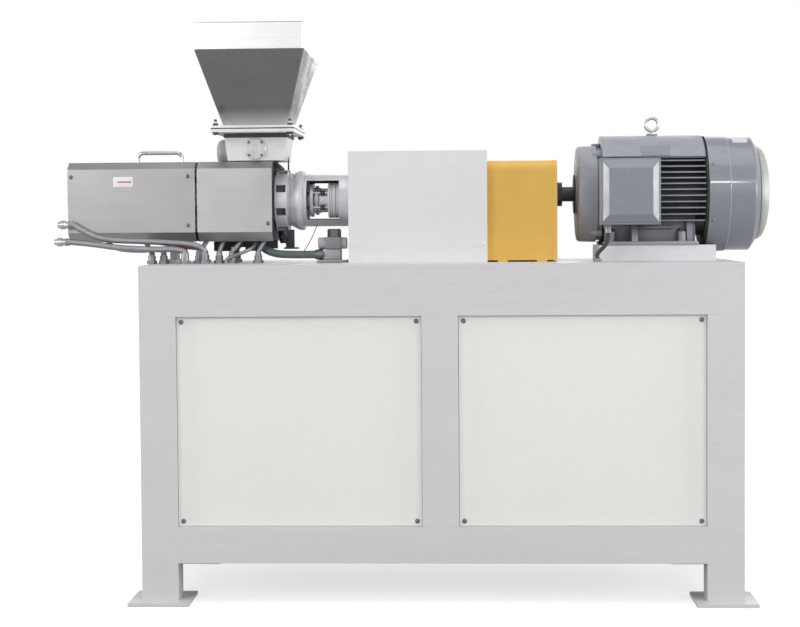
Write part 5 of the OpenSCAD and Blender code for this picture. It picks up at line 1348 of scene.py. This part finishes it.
@dataclass
class FeedThroat:
    """Bolted throat with the agitator's bearing cover and its small drive."""

    front: float = -0.08
    axis_z: float = 1.12976
    cover: Profile = (
        (-0.0005, 0.0275), (0.0075, 0.0275), (0.009, 0.026), (0.009, 0.011), (0.0082, 0.0102),
        (0.0082, 0.002))
    cover_thick: float = 0.009
    screw_reach: float = 0.0165
    screw_size: tuple = (0.0068, 0.0035, Head.SOCKET)
    shadow_band_corner: float = 0.003
    # A dark band round the throat just under the flange, as painted shadow of the flange.
    seam: tuple = (
        ((0.1635, 0.1605), 1.1585), ((0.1655, 0.1615), 1.1590), ((0.1655, 0.1615), 1.1697),
        ((0.158, 0.155), 1.1697), ((0.158, 0.155), 1.1585))

    def build(self) -> None:
        """Dress the throat and make its cover, the cover's screws and a dark band under the flange, as
        painted shadow of the flange.
        """
        dress(FINISH.satin, "feed_throat")
        dress(FINISH.drive, "agitator_drive")
        ahead = (0, -1, 0)
        disc = turned(self.cover, (FEED_X, self.front, self.axis_z), ahead, 64)
        build("bearing_cover", [disc], FINISH.lid, sharp=30, replaces="throat_cover")
        y, reach = self.front - self.cover_thick, self.screw_reach
        heads = [screw_head((FEED_X + reach * sx, y, self.axis_z + reach * sz), ahead, *self.screw_size)
                 for sx in SIDES for sz in SIDES]
        build("cover_screws", heads, FINISH.screw)
        # Painted shadow: the dark band under the flange.
        rows = [(rounded(*size, self.shadow_band_corner), z) for size, z in self.seam]
        build("throat_painted_shadow", [boxed_ring(rows, FEED_X)], FINISH.liner, sharp=30)


@dataclass
class Motor:
    """Foot-mounted motor: fine turned shields and cowl, wire grille, pressed lid and lifting eye."""

    start: float = 0.419
    frame_end: float = 0.751
    front_shield: Profile = (
        (0.003, 0.021), (0.003, 0.05), (0.005, 0.052), (0.0075, 0.0525), (0.0075, 0.1165), (0.0083, 0.1192),
        (0.0105, 0.1215), (0.0135, 0.123), (0.03, 0.124), (0.056, 0.1245), (0.056, 0.1195), (0.068, 0.1195),
        (0.068, 0.1018), (0.028, 0.1018), (0.0224, 0.052), (0.03, 0.052), (0.03, 0.0401), (0.012, 0.0401),
        (0.012, 0.021))
    rear_shield: Profile = (
        (0, 0.0401), (0, 0.108), (0.012, 0.108), (0.012, 0.052), (0.022, 0.052), (0.022, 0.024),
        (0.018, 0.024), (0.018, 0.0401))
    lug_turns: tuple = (35, 145, 215, 325)
    lug_x: float = 0.463
    lug_reach: float = 0.119
    lug: Profile = ((0, 0.01), (0.0015, 0.0115), (0.003, 0.012), (0.024, 0.012))
    lug_screw: tuple = (0.013, 0.006, Head.HEX)
    crest: tuple = ((0.4655, -0.011, 1.118), (0.4865, 0.011, 1.1375), 0.004, 0.002)
    seal_in: float = 0.0005
    seal: Profile = ((0, 0.0215), (0.0025, 0.0215), (0.0025, 0.0505), (0.0005, 0.0515), (0, 0.05))
    cowl_len: float = 0.133
    cowl_r: float = 0.1475
    cowl_mouth: Profile = (
        (0, 0), (0, 0.0018), (0.001, 0.0025), (0.002, 0.0025), (0.0515, 0.0025), (0.0525, 0.0025),
        (0.0535, 0.0012), (0.0545, 0), (0.0555, 0))
    cowl_tail: Profile = (
        (-0.019, 0), (-0.018, 0), (-0.016, -0.001), (-0.001, -0.024), (0, -0.026), (0, -0.029),
        (-0.002, -0.029), (-0.003, -0.026), (-0.017, -0.0035))
    cowl_inside: Profile = ((0.0025, -0.0025),)
    cowl_seam: tuple = (0.0535, 0.0008, 0.0012)
    # A dark ring between the fins' ends and the cowl, as painted shade in the gap there.
    painted_shade_rim_in: float = 0.0045
    painted_shade_rim: Profile = ((0, 0.1), (0, 0.1405), (0.001, 0.1425), (0.004, 0.1425), (0.004, 0.1))
    cowl_screw_turns: tuple = (-62, 62, -118, 118)
    cowl_screw_at: Pair = (0.012, 0.002)
    cowl_screw: tuple = (0.009, 0.003, Head.BUTTON)
    plate_half: float = 0.0006
    cowl_plate: tuple = ((0.8190, 0.8560), cowl_r, (19.5, 31.5))
    frame_plate: tuple = ((0.5853, 0.6568), 0.1495, (37, 51))
    dome: float = 0.036
    dome_sink: Pair = (0.0015, 0.004)
    wire_allowance: float = 0.003
    dome_r: float = 0.1188
    rings: int = 30
    first_ring: float = 0.07
    rib_leans: tuple = (22.5, 67.5, 112.5, 157.5)
    wire_r: float = 0.0014
    dome_boss: Profile = ((0, 0.0125), (0.0022, 0.0125), (0.003, 0.011), (0.003, 0.003))
    dome_boss_in: float = 0.0048
    lid: Point = (0.549, -0.2, 1.0105)
    lid_steps: tuple = (
        ((0.148, 0.165), 0.009, 0.0), ((0.148, 0.165), 0.009, 0.0042), ((0.1466, 0.1636), 0.0084, 0.005),
        ((0.140, 0.157), 0.005, 0.0052), ((0.1385, 0.1548), 0.004, 0.0066),
        ((0.1372, 0.1532), 0.003, 0.0078), ((0.1092, 0.1185), 0.0024, 0.0200),
        ((0.1074, 0.1166), 0.0022, 0.0206), ((0.103, 0.112), 0.002, 0.021))
    eye: Point = (0.622, 0, 1.162)
    eye_rise: float = 0.024
    eye_r: float = 0.0165
    eye_bar: float = 0.0042
    eye_collar: Profile = (
        (-0.008, 0.004), (0, 0.004), (0, 0.0085), (0.0025, 0.0085), (0.0035, 0.007), (0.0052, 0.005))

    def shields(self) -> None:
        """Turned end shields with their lugs, screws and shaft seal."""
        solids = [hooped(self.front_shield, self.start, MOTOR_Z, 96),
                  hooped(self.rear_shield, self.frame_end, MOTOR_Z, 64)]
        places = [(self.lug_x, self.lug_reach * math.sin(turn), MOTOR_Z + self.lug_reach * math.cos(turn))
                  for turn in np.radians(self.lug_turns)]
        solids += [turned(self.lug, place, AXIS_X, 24) for place in places]
        solids.append(plate(*self.crest))
        heads = [screw_head(place, (-1, 0, 0), *self.lug_screw) for place in places]
        build("end_shields", solids, FINISH.motor_cast, sharp=35, replaces="motor_end_shields")
        build("end_shield_screws", heads, FINISH.zinc)
        seal = hooped(self.seal, self.start + self.seal_in, MOTOR_Z, 64)
        build("shaft_seal", [seal], FINISH.rubber, sharp=30)

    def cowl(self) -> None:
        """Pressed cowl with its seam, screws and plain plate.

        Its profile is given from the mouth and from the far end, as heights over the cowl's radius.
        """
        r, x, n = self.cowl_r, self.frame_end, self.cowl_len
        shell = np.concatenate([np.array(rows) + np.array([start, r]) for rows, start in
                                ((self.cowl_mouth, 0), (self.cowl_tail, n), (self.cowl_inside, 0))])
        build("fan_cover", [hooped(shell, x, MOTOR_Z, 128)], FINISH.motor, sharp=40,
              replaces="fan_cowl")
        # The seam's bead is finished lighter than the cowl, as a painted highlight.
        along, rise, bead = self.cowl_seam
        seam = wire_hoop(x + along, MOTOR_Z, r + rise, 128, bead, 8)
        build("cowl_seam", [seam], FINISH.seam, sharp=60, replaces="fan_cowl")
        # Painted shade: a dark ring in the gap between the fins' ends and the cowl.
        rim = hooped(self.painted_shade_rim, x - self.painted_shade_rim_in, MOTOR_Z, 96)
        build("painted_shade_rim", [rim], FINISH.liner, sharp=40)
        along, rise = self.cowl_screw_at
        ways = [(math.sin(turn), math.cos(turn)) for turn in np.radians(self.cowl_screw_turns)]
        out = r + rise
        heads = [screw_head((x + along, out * y, MOTOR_Z + out * z), (0, y, z), *self.cowl_screw)
                 for y, z in ways]
        build("cowl_screws", heads, FINISH.motor)
        tag, label = (bowed(*size, self.plate_half, MOTOR_Z) for size in (self.cowl_plate, self.frame_plate))
        build("cowl_plate", [tag], FINISH.tag, sharp=30)
        build("frame_plate", [label], FINISH.plate_grey, sharp=30)

    def on_dome(self, turn: Array, sink: float) -> tuple[Array, Array]:
        """Station and radius of the grille's dome at a turn from its middle.

        The station falls with the 0.7th power of the cosine of the turn, while the radius grows with the
        0.86th power of the sine, which makes the dome fuller than a ball.

        Args:
            turn: Turn from the dome's middle, in radians.
            sink: How far behind the cowl's end the dome starts.

        Returns:
            The stations and the radii.
        """
        end = self.frame_end + self.cowl_len
        station = end - sink + (self.dome - self.wire_allowance) * np.cos(turn) ** 0.7
        return station, self.dome_r * np.sin(turn) ** 0.86

    def grille(self) -> None:
        """Domed grille of rings and ribs of wire, with a pressed middle."""
        ring_sink, rib_sink = self.dome_sink
        places = self.on_dome(np.linspace(self.first_ring, 0.5 * np.pi, self.rings), ring_sink)
        solids = [wire_hoop(x, MOTOR_Z, r, 72, self.wire_r, 6) for x, r in zip(*places)]
        half = np.stack(self.on_dome(np.linspace(0, 0.5 * np.pi, 24), rib_sink), -1)
        rib = np.concatenate([half[::-1] * np.array([1, -1]), half[1:]])
        for lean in np.radians(self.rib_leans):
            y, z = math.cos(lean), math.sin(lean)
            path = np.stack([rib[:, 0], rib[:, 1] * y, MOTOR_Z + rib[:, 1] * z], -1)
            solids.append(swept(path, self.wire_r, 8, across=(0, -z, y)))
        tip = self.frame_end + self.cowl_len + self.dome - self.dome_boss_in
        solids.append(turned(self.dome_boss, (tip, 0, MOTOR_Z), AXIS_X, 40))
        build("wire_grille", solids, FINISH.wire, sharp=50, replaces="fan_grille")

    def box_lid(self) -> None:
        """Pressed lid of the terminal box: a flat base, wide bevels and a raised pad."""
        rows = [(rounded(*size, corner), height) for size, corner, height in self.lid_steps]
        lid = lofted(rows, self.lid, AXIS_X, AXIS_Z)
        build("box_lid", [lid], FINISH.gloss, sharp=6, replaces="terminal_lid")

    def lifting_eye(self) -> None:
        """Lifting eye with its collar."""
        x, y, z = self.eye
        ring = circle((x, y, z + self.eye_rise), self.eye_r, 56, AXIS_X, AXIS_Z)
        solids = [swept(ring, self.eye_bar, 14, ring=True), turned(self.eye_collar, self.eye, AXIS_Z, 32)]
        build("lifting_eye", solids, FINISH.zinc, sharp=40, replaces="eye_bolt")

    def build(self) -> None:
        """Dress the box, the bed and the inner parts, and add the finer pieces."""
        dress(FINISH.motor_cast, "terminal_box", "cooling_fan")
        dress(FINISH.bed, "motor_bed")
        dress(FINISH.turned, "motor_bearings")
        dress(FINISH.copper, "stator")
        dress(FINISH.black, "motor_rotor", "motor_hub", "gearbox_hub")
        dress(FINISH.spider, "coupling_spider")
        self.shields()
        self.cowl()
        self.grille()
        self.box_lid()
        self.lifting_eye()


@dataclass
class MotorFrame:
    """Cast frame of the motor: core, level fins, crown, the terminal box's neck, and ribbed feet."""

    span: Pair = (0.487, 0.7435)
    core: float = 0.108
    core_wall: float = 0.008
    core_len: float = 0.264
    reach: float = 0.142
    fins: tuple = (1.0888, 1.0739, 1.0589, 1.0445, 1.0304, 1.0156, 1.0003, 0.985, 0.9697, 0.9537, 0.9379)
    low_fin: tuple = (0.921, 0.5735, 0.665)
    fin_root: float = 0.0029
    fin_tip: float = 0.0019
    fin_sink: float = 0.005
    crown: float = 0.1492
    crown_lean: float = 52
    crown_sink: float = 0.004
    crown_thick: float = 0.008
    crown_over: float = 0.002
    crown_corner: float = 0.002
    end_lap: float = 0.0003
    end_steps: Profile = ((0.006, 0), (0.0018, 0.0018), (0.0, 0.006), (0.0, 0.01))
    pad_place: Point = (0.622, 0, 1.1575)
    pad: Profile = ((-0.01, 0.0145), (0.0035, 0.0145), (0.0045, 0.0135), (0.0045, 0.006))
    neck: tuple = ((span[0], -0.15, 0.950), (0.601, -0.08, 1.071), 0.006, 0.0015)
    bolts: Pair = (0.508, 0.686)
    bolt_y: float = 0.108
    bolt_rise: float = 0.034
    bolt_heads: tuple = ((-0.0002, 0.0185, 0.0018, Head.DISC), (0.0014, 0.016, 0.0062, Head.HEX))
    bed: float = 0.876
    flange: tuple = ((0.488, 0.726), (0.084, 0.134), (0.0, 0.0095), 0.006, 0.0015)
    wall: tuple = ((0.492, 0.722), (0.086, 0.0975), (0.004, 0.080), 0.003, 0.001)
    boss_rise: float = 0.0078
    boss: Profile = ((0, 0.0115), (0.003, 0.0098), (0.0262, 0.0092))
    web: Profile = (
        (0.06, 0.880), (0.131, 0.880), (0.131, 0.896), (0.112, 0.93), (0.09, 0.956), (0.06, 0.956))
    webs: tuple = (((0.5585, 0.5735), 0.131), ((0.6982, 0.7132), 0.108))

    def along(self, outline: Array, ends: Pair) -> Solid:
        """Prism of an outline of Y and Z between two places along X."""
        return lofted([(outline, x) for x in ends], (0, 0, 0), AXIS_Y, AXIS_Z)

    def fin(self, side: int, z: float, ends: Pair) -> Solid:
        """One fin, thinner at its round tip.

        Its tip lies where the height over the motor's axis meets the envelope: the root of the reach squared
        less the height squared.

        Args:
            side: Minus one for the operator's side, one for the back.
            z: Height of the fin.
            ends: Where it starts and ends.

        Returns:
            The closed fin.
        """
        h = z - MOTOR_Z
        root, tip = math.sqrt(self.core**2 - h**2) - self.fin_sink, math.sqrt(self.reach**2 - h**2)
        turn, r = np.linspace(-np.pi / 2, np.pi / 2, 7), self.fin_tip
        nose = np.stack([tip - r + r * np.cos(turn), r * np.sin(turn)], -1)
        base = [[root, self.fin_root], [root, -self.fin_root]]
        return self.along(np.concatenate([base, nose]) * np.array([side, 1]) + np.array([0, z]), ends)

    def cap(self) -> list[Solid]:
        """Crown on top: a bent plate on the envelope's arc, with an eased end at the shaft's side, and a pad.

        Returns:
            The plate, its closed end and the pad under the lifting eye.
        """
        x0, x1 = self.span
        turn = np.radians(np.linspace(-self.crown_lean, self.crown_lean, 41))
        out = np.stack([np.sin(turn), np.cos(turn)], -1)
        axis = np.array([0, MOTOR_Z])
        arc = np.insert((self.crown - self.crown_sink) * out + axis, 0,
                        (x0 + x1 + self.crown_over) / 2, axis=1)
        strip = rounded(self.crown_thick, x1 - x0 + self.crown_over, self.crown_corner, 3)
        rows = [((self.crown - self.end_lap - inset) * out + axis, x0 + step)
                for inset, step in self.end_steps]
        return [swept(arc, 0, 4, across=AXIS_X, section=strip), lofted(rows, (0, 0, 0), AXIS_Y, AXIS_Z),
                turned(self.pad, self.pad_place, AXIS_Z, 40)]

    def block(self, side: int, shape: tuple) -> Solid:
        """Plate of one foot.

        Args:
            side: Minus one for the operator's side, one for the back.
            shape: Its ends along X, its two distances from the middle, its heights over the bed, its corners'
                radius and its edges' radius.

        Returns:
            The closed plate.
        """
        (x0, x1), across, (low, high), corner, ease = shape
        y0, y1 = sorted(side * y for y in across)
        return plate((x0, y0, self.bed + low), (x1, y1, self.bed + high), corner, ease)

    def foot(self, side: int) -> list[Solid]:
        """One foot: flange on the bed, wall up to the core, two bosses under the bolts, and two ribs.

        Args:
            side: Minus one for the operator's side, one for the back.

        Returns:
            The closed solids.
        """
        solids = [self.block(side, self.flange), self.block(side, self.wall)]
        solids += [turned(self.boss, (x, side * self.bolt_y, self.bed + self.boss_rise), AXIS_Z, 32)
                   for x in self.bolts]
        solids += [self.along(np.minimum(self.web, np.array([cut, 1.0])) * np.array([side, 1]), ends)
                   for ends, cut in self.webs]
        return solids

    def build(self) -> None:
        """Cast the whole frame as one piece, and put the bolts on its feet."""
        x0 = self.span[0]
        wall = self.core - self.core_wall
        tube = [(0, self.core), (self.core_len, self.core), (self.core_len, wall), (0, wall)]
        solids = [hooped(tube, x0, MOTOR_Z, 96), *self.cap(), plate(*self.neck, AXIS_Y)]
        low_z, *low_ends = self.low_fin
        for side in SIDES:
            solids += [self.fin(side, z, self.span) for z in self.fins]
            solids += [self.fin(side, low_z, low_ends), *self.foot(side)]
        build("cast_frame", solids, FINISH.motor_core, sharp=35, replaces="motor_frame")
        top = self.bed + self.bolt_rise
        bolts = [screw_head((x, side * self.bolt_y, top + up), AXIS_Z, width, height, kind)
                 for x in self.bolts for side in SIDES for up, width, height, kind in self.bolt_heads]
        build("foot_bolts", bolts, FINISH.black, sharp=30, replaces="machine_bolts")


@dataclass
class Guard:
    """Yellow sheet guard over the coupling."""

    half: float = 0.130
    top: float = 1.093
    bend: float = 0.026
    end: float = 0.371
    lap: float = 0.0003
    strip_foot: float = 0.8385
    strip_in: float = 0.0055
    strip_size: Pair = (0.0014, 0.0105)
    screw_x: Pair = (0.233, 0.332)
    screw_in: float = 0.013
    screw_z: float = 0.8382
    screw_size: tuple = (0.009, 0.0045, Head.BUTTON)

    def build(self) -> None:
        """Dress the guard and add the folded strip at its motor end and the screws of its tabs."""
        dress(FINISH.guard, "coupling_guard")
        half = self.half + self.lap
        flat = bent((-half, half), self.strip_foot, self.top + self.lap, self.bend)
        path = np.insert(flat, 0, self.end - self.strip_in, axis=1)
        strip = swept(path, 0, 4, across=AXIS_X, section=rectangle(*self.strip_size))
        build("guard_strip", [strip], FINISH.guard, sharp=35)
        heads = [screw_head((x, side * (self.half - self.screw_in), self.screw_z), AXIS_Z, *self.screw_size)
                 for x in self.screw_x for side in SIDES]
        build("guard_screws", heads, FINISH.screw)


@dataclass
class Gearbox:
    """Covered gearbox with the grooved nose of its case, and the castings of the process side."""

    nose: float = 0.046
    groove_x: Point = (-0.212, -0.207, -0.198)
    groove_wire: float = 0.0007

    def build(self) -> None:
        """Dress the gearbox and the process side's castings, and mark the grooves of the nose."""
        dress(FINISH.cover, "gearbox_cover", "gearbox_housing")
        dress(FINISH.cast, "gearbox_lid")
        dress(FINISH.bronze, "gearbox_bearings")
        dress(FINISH.ring, "adapter_ring")
        dress(FINISH.turned, "packing_gland", "screw_a", "screw_b", "main_barrel", "feed_barrel", "agitator")
        dress(FINISH.gear, "input_shaft", "layshaft", "output_shaft_a", "output_shaft_b")
        dress(FINISH.alloy, "barrel_heaters")
        dress(FINISH.frame, "barrel_support")
        grooves = [wire_hoop(x, BARREL_Z, self.nose, 72, self.groove_wire, 6) for x in self.groove_x]
        build("nose_grooves", grooves, FINISH.liner, sharp=60)


@dataclass
class PackingGland:
    """Ring, sleeve, studs and nuts that pull the packing of the shafts together."""

    ring_x: float = -0.2655
    ring: Profile = (
        (0, 0.0335), (0, 0.042), (0.001, 0.043), (0.008, 0.043), (0.009, 0.042), (0.009, 0.0335))
    sleeve_x: float = -0.2425
    sleeve: Profile = (
        (0, 0.0265), (0, 0.031), (0.004, 0.032), (0.008, 0.031), (0.0235, 0.031), (0.0235, 0.0265))
    stud_turns: tuple = (60, 120, 240, 300)
    stud_reach: float = 0.0375
    stud_x: float = -0.2565
    stud: Profile = ((0, 0.003), (0.038, 0.003), (0.039, 0.0022))
    nuts: tuple = ((-0.2375, (0.011, 0.006, Head.HEX)), (-0.2305, (0.011, 0.005, Head.HEX)))

    def build(self) -> None:
        """Turn the ring and the sleeve, and set the studs round them."""
        rings = [hooped(profile, x, BARREL_Z, 64)
                 for profile, x in ((self.ring, self.ring_x), (self.sleeve, self.sleeve_x))]
        build("gland_ring", rings, FINISH.ring, sharp=30)
        places = [(self.stud_reach * math.sin(turn), BARREL_Z + self.stud_reach * math.cos(turn))
                  for turn in np.radians(self.stud_turns)]
        studs = [turned(self.stud, (self.stud_x, *place), AXIS_X, 16) for place in places]
        nuts = [screw_head((x, *place), AXIS_X, *size) for place in places for x, size in self.nuts]
        build("gland_studs", studs, FINISH.zinc, sharp=30)
        build("gland_nuts", nuts, FINISH.black, sharp=30)


@dataclass
class Lantern:
    """Open lantern before the gearbox: a flange on a neck, two bars beside the windows, and an end ring."""

    x: float = -0.321
    bore: float = 0.058
    r: float = 0.068
    flange: Profile = (
        (0, -0.004), (0.0045, -0.004), (0.006, -0.002), (0.019, 0.005), (0.024, 0.008), (0.028, 0.0092),
        (0.031, 0.0095), (0.0388, 0.0095), (0.04, 0.0083), (0.04, 0), (0.0484, 0), (0.049, -0.0006))
    end: Profile = ((0.133, -0.0006), (0.1336, 0), (0.171, 0))
    bar_span: Pair = (0.0485, 0.1335)
    bar_leans: Pair = (42.0, 29.5)
    # Dark plates behind the windows, flat and sloped, which stand for the shade inside the lantern.
    shade_sheets: tuple = (
        ((-0.2715, 0.029, 1.0425), (-0.1885, 0.045, 1.0483), 0.001, 0.0004),
        ((-0.2715, 0.029, 0.9468), (-0.1885, 0.045, 0.9495), 0.001, 0.0004))
    slope: Profile = (
        (-0.2720, 1.0482), (-0.2720, 1.0400), (-0.2650, 1.0200), (-0.2560, 1.0200), (-0.2590, 1.0482))
    slope_y: Pair = (-0.044, -0.040)
    eye: Point = (-0.3095, -0.0430, 1.0600)
    eye_r: float = 0.0068
    eye_bar: float = 0.0019
    eye_lean: Pair = (0.82, 0.57)

    def hollow(self, heights: Profile) -> Solid:
        """Ring of a profile over the lantern's radius, down to its bore at both ends.

        Args:
            heights: Station of each point, and its height over the radius.

        Returns:
            The closed ring.
        """
        rows = np.array(heights) + np.array([0, self.r])
        ends = np.array([[rows[0, 0], self.bore], [rows[-1, 0], self.bore]])
        return hooped(np.concatenate([ends[:1], rows, ends[1:]]), self.x, BARREL_Z, 96)

    def body(self) -> None:
        """Flange, end ring and the two bars between them, each bar the part of the wall within its lean."""
        outer, inner = (np.radians(np.linspace(-lean, lean, 25)) for lean in self.bar_leans)
        arc = np.concatenate([self.r * np.stack([np.sin(outer), np.cos(outer)], -1),
                              self.bore * np.stack([np.sin(inner), np.cos(inner)], -1)[::-1]])
        bars = [lofted([(arc * np.array([1, side]), x) for x in self.bar_span], (self.x, 0, BARREL_Z),
                       AXIS_Y, AXIS_Z) for side in (1, -1)]
        solids = [self.hollow(self.flange), self.hollow(self.end), *bars]
        build("lantern_body", solids, FINISH.lantern, sharp=32, replaces="lantern")

    def build(self) -> None:
        """Make the body, dark plates behind its windows as painted shade inside it, and the small eye."""
        self.body()
        # Painted shade: dark plates inside the lantern, behind its windows.
        shade_sheets = [plate(*size, AXIS_Y) for size in self.shade_sheets]
        slope = np.array(self.slope)
        shade_sheets.append(lofted([(slope, y) for y in self.slope_y], (0, 0, 0), AXIS_X, AXIS_Z))
        build("lantern_painted_shade", shade_sheets, FINISH.liner, sharp=30)
        up, back = self.eye_lean
        ring = circle(self.eye, self.eye_r, 28, AXIS_X, (0, -back, up))
        eye = swept(ring, self.eye_bar, 10, ring=True, across=(0, up, back))
        build("lantern_eye", [eye], FINISH.zinc, sharp=60)


@dataclass
class RingFittings:
    """Fittings of the adapter ring and the barrel: bolts, terminals, a pipe, a drain and a probe."""

    x: float = -0.3365
    pocket_turns: tuple = tuple(22.5 + 45 * k for k in range(8))
    pocket: tuple = (0.0246, 0.0206, 0.001, 2)
    pocket_reach: Pair = (0.0618, 0.0722)
    bolt_x: float = -0.3238
    bolt_reach: float = 0.071
    bolt: tuple = (0.0128, 0.0054, Head.HEX)
    terminals: tuple = (
        (-0.5235, -0.4790, 0.866), (-0.4795, -0.4400, 0.876), (-0.4405, -0.3950, 0.866),
        (-0.3955, -0.356, 0.872))
    terminal_y: Pair = (0.006, 0.032)
    terminal_top: float = 0.946
    terminal_edges: Pair = (0.004, 0.0015)
    pipe_r: float = 0.0045
    pipe: tuple = (
        (-0.4745, -0.104, 0.835), (-0.4745, -0.104, 0.846), (-0.4560, -0.103, 0.855),
        (-0.4210, -0.095, 0.869), (-0.4065, -0.080, 0.879), (-0.4020, -0.064, 0.892),
        (-0.4010, -0.053, 0.912), (-0.4010, -0.052, 0.955))
    drain_drop: float = 0.0785
    drain: Profile = (
        (0, 0.0145), (0.003, 0.0155), (0.013, 0.0155), (0.0135, 0.0125), (0.026, 0.0125), (0.033, 0.010))
    drain_nut_drop: float = 0.0125
    drain_nut: tuple = (0.026, 0.008, Head.HEX)
    bracket: tuple = (
        ((-0.3315, -0.011, 0.874), (-0.3095, 0.011, 0.9215), 0.004, 0.0012),
        ((-0.3365, -0.015, 0.871), (-0.2985, 0.015, 0.8755), 0.004, 0.001))
    probe_at: Pair = (-0.3232, 0.0775)
    probe: Profile = ((-0.006, 0.0045), (0.001, 0.0045), (0.002, 0.0022), (0.026, 0.0019), (0.036, 0.0007))

    def pockets(self) -> None:
        """Bolts in the ring's pockets, over dark blocks that stand for the shade inside the pockets."""
        blocks, heads = [], []
        for turn in np.radians(self.pocket_turns):
            y, z = math.sin(turn), math.cos(turn)
            # Painted shade: a dark block in each pocket.
            rows = [(rounded(*self.pocket), height) for height in self.pocket_reach]
            blocks.append(lofted(rows, (self.x, 0, BARREL_Z), AXIS_X, (0, z, y)))
            place = (self.bolt_x, -self.bolt_reach * y, BARREL_Z + self.bolt_reach * z)
            heads.append(screw_head(place, (-1, 0, 0), *self.bolt))
        build("pocket_painted_shade", blocks, FINISH.liner, sharp=30)
        build("ring_bolts", heads, FINISH.black, sharp=30, replaces="machine_bolts")

    def underside(self) -> None:
        """Terminal boxes of the heaters and the rigid cooling pipe."""
        y0, y1 = self.terminal_y
        boxes = [plate((x0, y0, low), (x1, y1, self.terminal_top), *self.terminal_edges)
                 for x0, x1, low in self.terminals]
        build("heater_terminals", boxes, FINISH.liner, sharp=30)
        pipe = swept(smooth_route(self.pipe, 6), self.pipe_r, 14)
        build("cooling_pipe", [pipe], FINISH.gland, sharp=50)

    def build(self) -> None:
        """Make the bolts, the underside, the drain on its bracket and the probe on top."""
        self.pockets()
        self.underside()
        z, down = BARREL_Z - self.drain_drop, (0, 0, -1)
        drain = [turned(self.drain, (self.x, 0, z), down, 28),
                 screw_head((self.x, 0, z - self.drain_nut_drop), down, *self.drain_nut),
                 *(plate(*size) for size in self.bracket)]
        build("drain_fitting", drain, FINISH.black, sharp=30)
        x, rise = self.probe_at
        probe = turned(self.probe, (x, 0, BARREL_Z + rise), AXIS_Z, 16)
        build("ring_probe", [probe], FINISH.black, sharp=30)


@dataclass
class CoverScrews:
    """Screws low in both sides of the gearbox cover."""

    x: Pair = (-0.145, 0.182)
    half: float = 0.15
    z: float = 0.884
    size: Pair = (0.008, 0.0035)

    def build(self) -> None:
        """Set the screws."""
        heads = [head for x in self.x for head in side_heads(x, self.half, self.z, self.size)]
        build("gearbox_cover_screws", heads, FINISH.white)


@dataclass
class WaterValves:
    """Solenoid valve on the table and the small ball valve on its riser.

    Places along X and Y are given from the solenoid valve's middle, and heights from the floor.
    """

    place: Point = (-0.205, -0.06, 0.0)
    foot: tuple = (
        ((-0.040, -0.020, 0.836), (0.040, 0.020, 0.843), 0.006, 0.0015),
        ((-0.024, -0.0133, 0.8425), (0.024, 0.0133, 0.8715), 0.006, 0.002))
    body: tuple = (((-0.020, -0.0195, 0.871), (0.026, 0.0195, 0.9015), 0.009, 0.003),)
    ends: Profile = ((0, 0.0125), (0.0015, 0.0148), (0.073, 0.0148), (0.0745, 0.0125))
    ends_at: Point = (-0.0365, 0, 0.886)
    cap_at: Point = (0.005, 0, 0.901)
    cap: tuple = (0.031, 0.022, Head.HEX)
    coil: Profile = ((0, 0.0108), (0.001, 0.0118), (0.018, 0.0150), (0.026, 0.0150))
    coil_at: Point = (-0.046, 0, 0.857)
    riser: Point = (-0.594, -0.045, 0.836)
    riser_pipe: Profile = ((0, 0.006), (0.1113, 0.006))
    ball: Profile = (
        (-0.016, 0.0085), (-0.013, 0.0095), (-0.008, 0.0095), (-0.007, 0.0108), (0.007, 0.0108),
        (0.008, 0.0095), (0.013, 0.0095), (0.016, 0.0085))
    ball_z: float = 0.878

    def at(self, offset: Point) -> Point:
        """A place that is given from the valve's middle."""
        return tuple(a + b for a, b in zip(self.place, offset))

    def blocks(self, shapes: tuple) -> list[Solid]:
        """Plates that are given from the valve's middle."""
        return [plate(self.at(low), self.at(high), corner, ease) for low, high, corner, ease in shapes]

    def build(self) -> None:
        """Make both valves from turned and eased shapes."""
        coil = [screw_head(self.at(self.cap_at), AXIS_Z, *self.cap),
                turned(self.coil, self.at(self.coil_at), AXIS_X, 28)]
        x, y, z = self.riser
        riser = [turned(self.riser_pipe, (x, y, z), AXIS_Z, 24),
                 turned(self.ball, (x, y, self.ball_z), AXIS_Z, 24)]
        for name, solids, finish in (
                ("valve_foot", self.blocks(self.foot), FINISH.alloy),
                ("valve_body", self.blocks(self.body), FINISH.valve),
                ("valve_ends", [turned(self.ends, self.at(self.ends_at), AXIS_X, 32)], FINISH.drive),
                ("valve_coil", coil, FINISH.gland_dark),
                ("riser_pipe", riser, FINISH.bronze)):
            build(name, solids, finish, sharp=35, replaces="water_valve")
        dress(FINISH.lacquer, "valve_lever")


PARTS = (Studio, TableFrame, HeatShields, Hopper, FeedThroat, Motor, MotorFrame, Guard, Gearbox,
         PackingGland, Lantern, RingFittings, CoverScrews, WaterValves, Cords)


def main() -> None:
    """Build the studio and every part of the machine."""
    logging.basicConfig(level=logging.INFO, format="%(name)s: %(message)s")
    for part in PARTS:
        part().build()


if __name__ == "__main__":
    main()
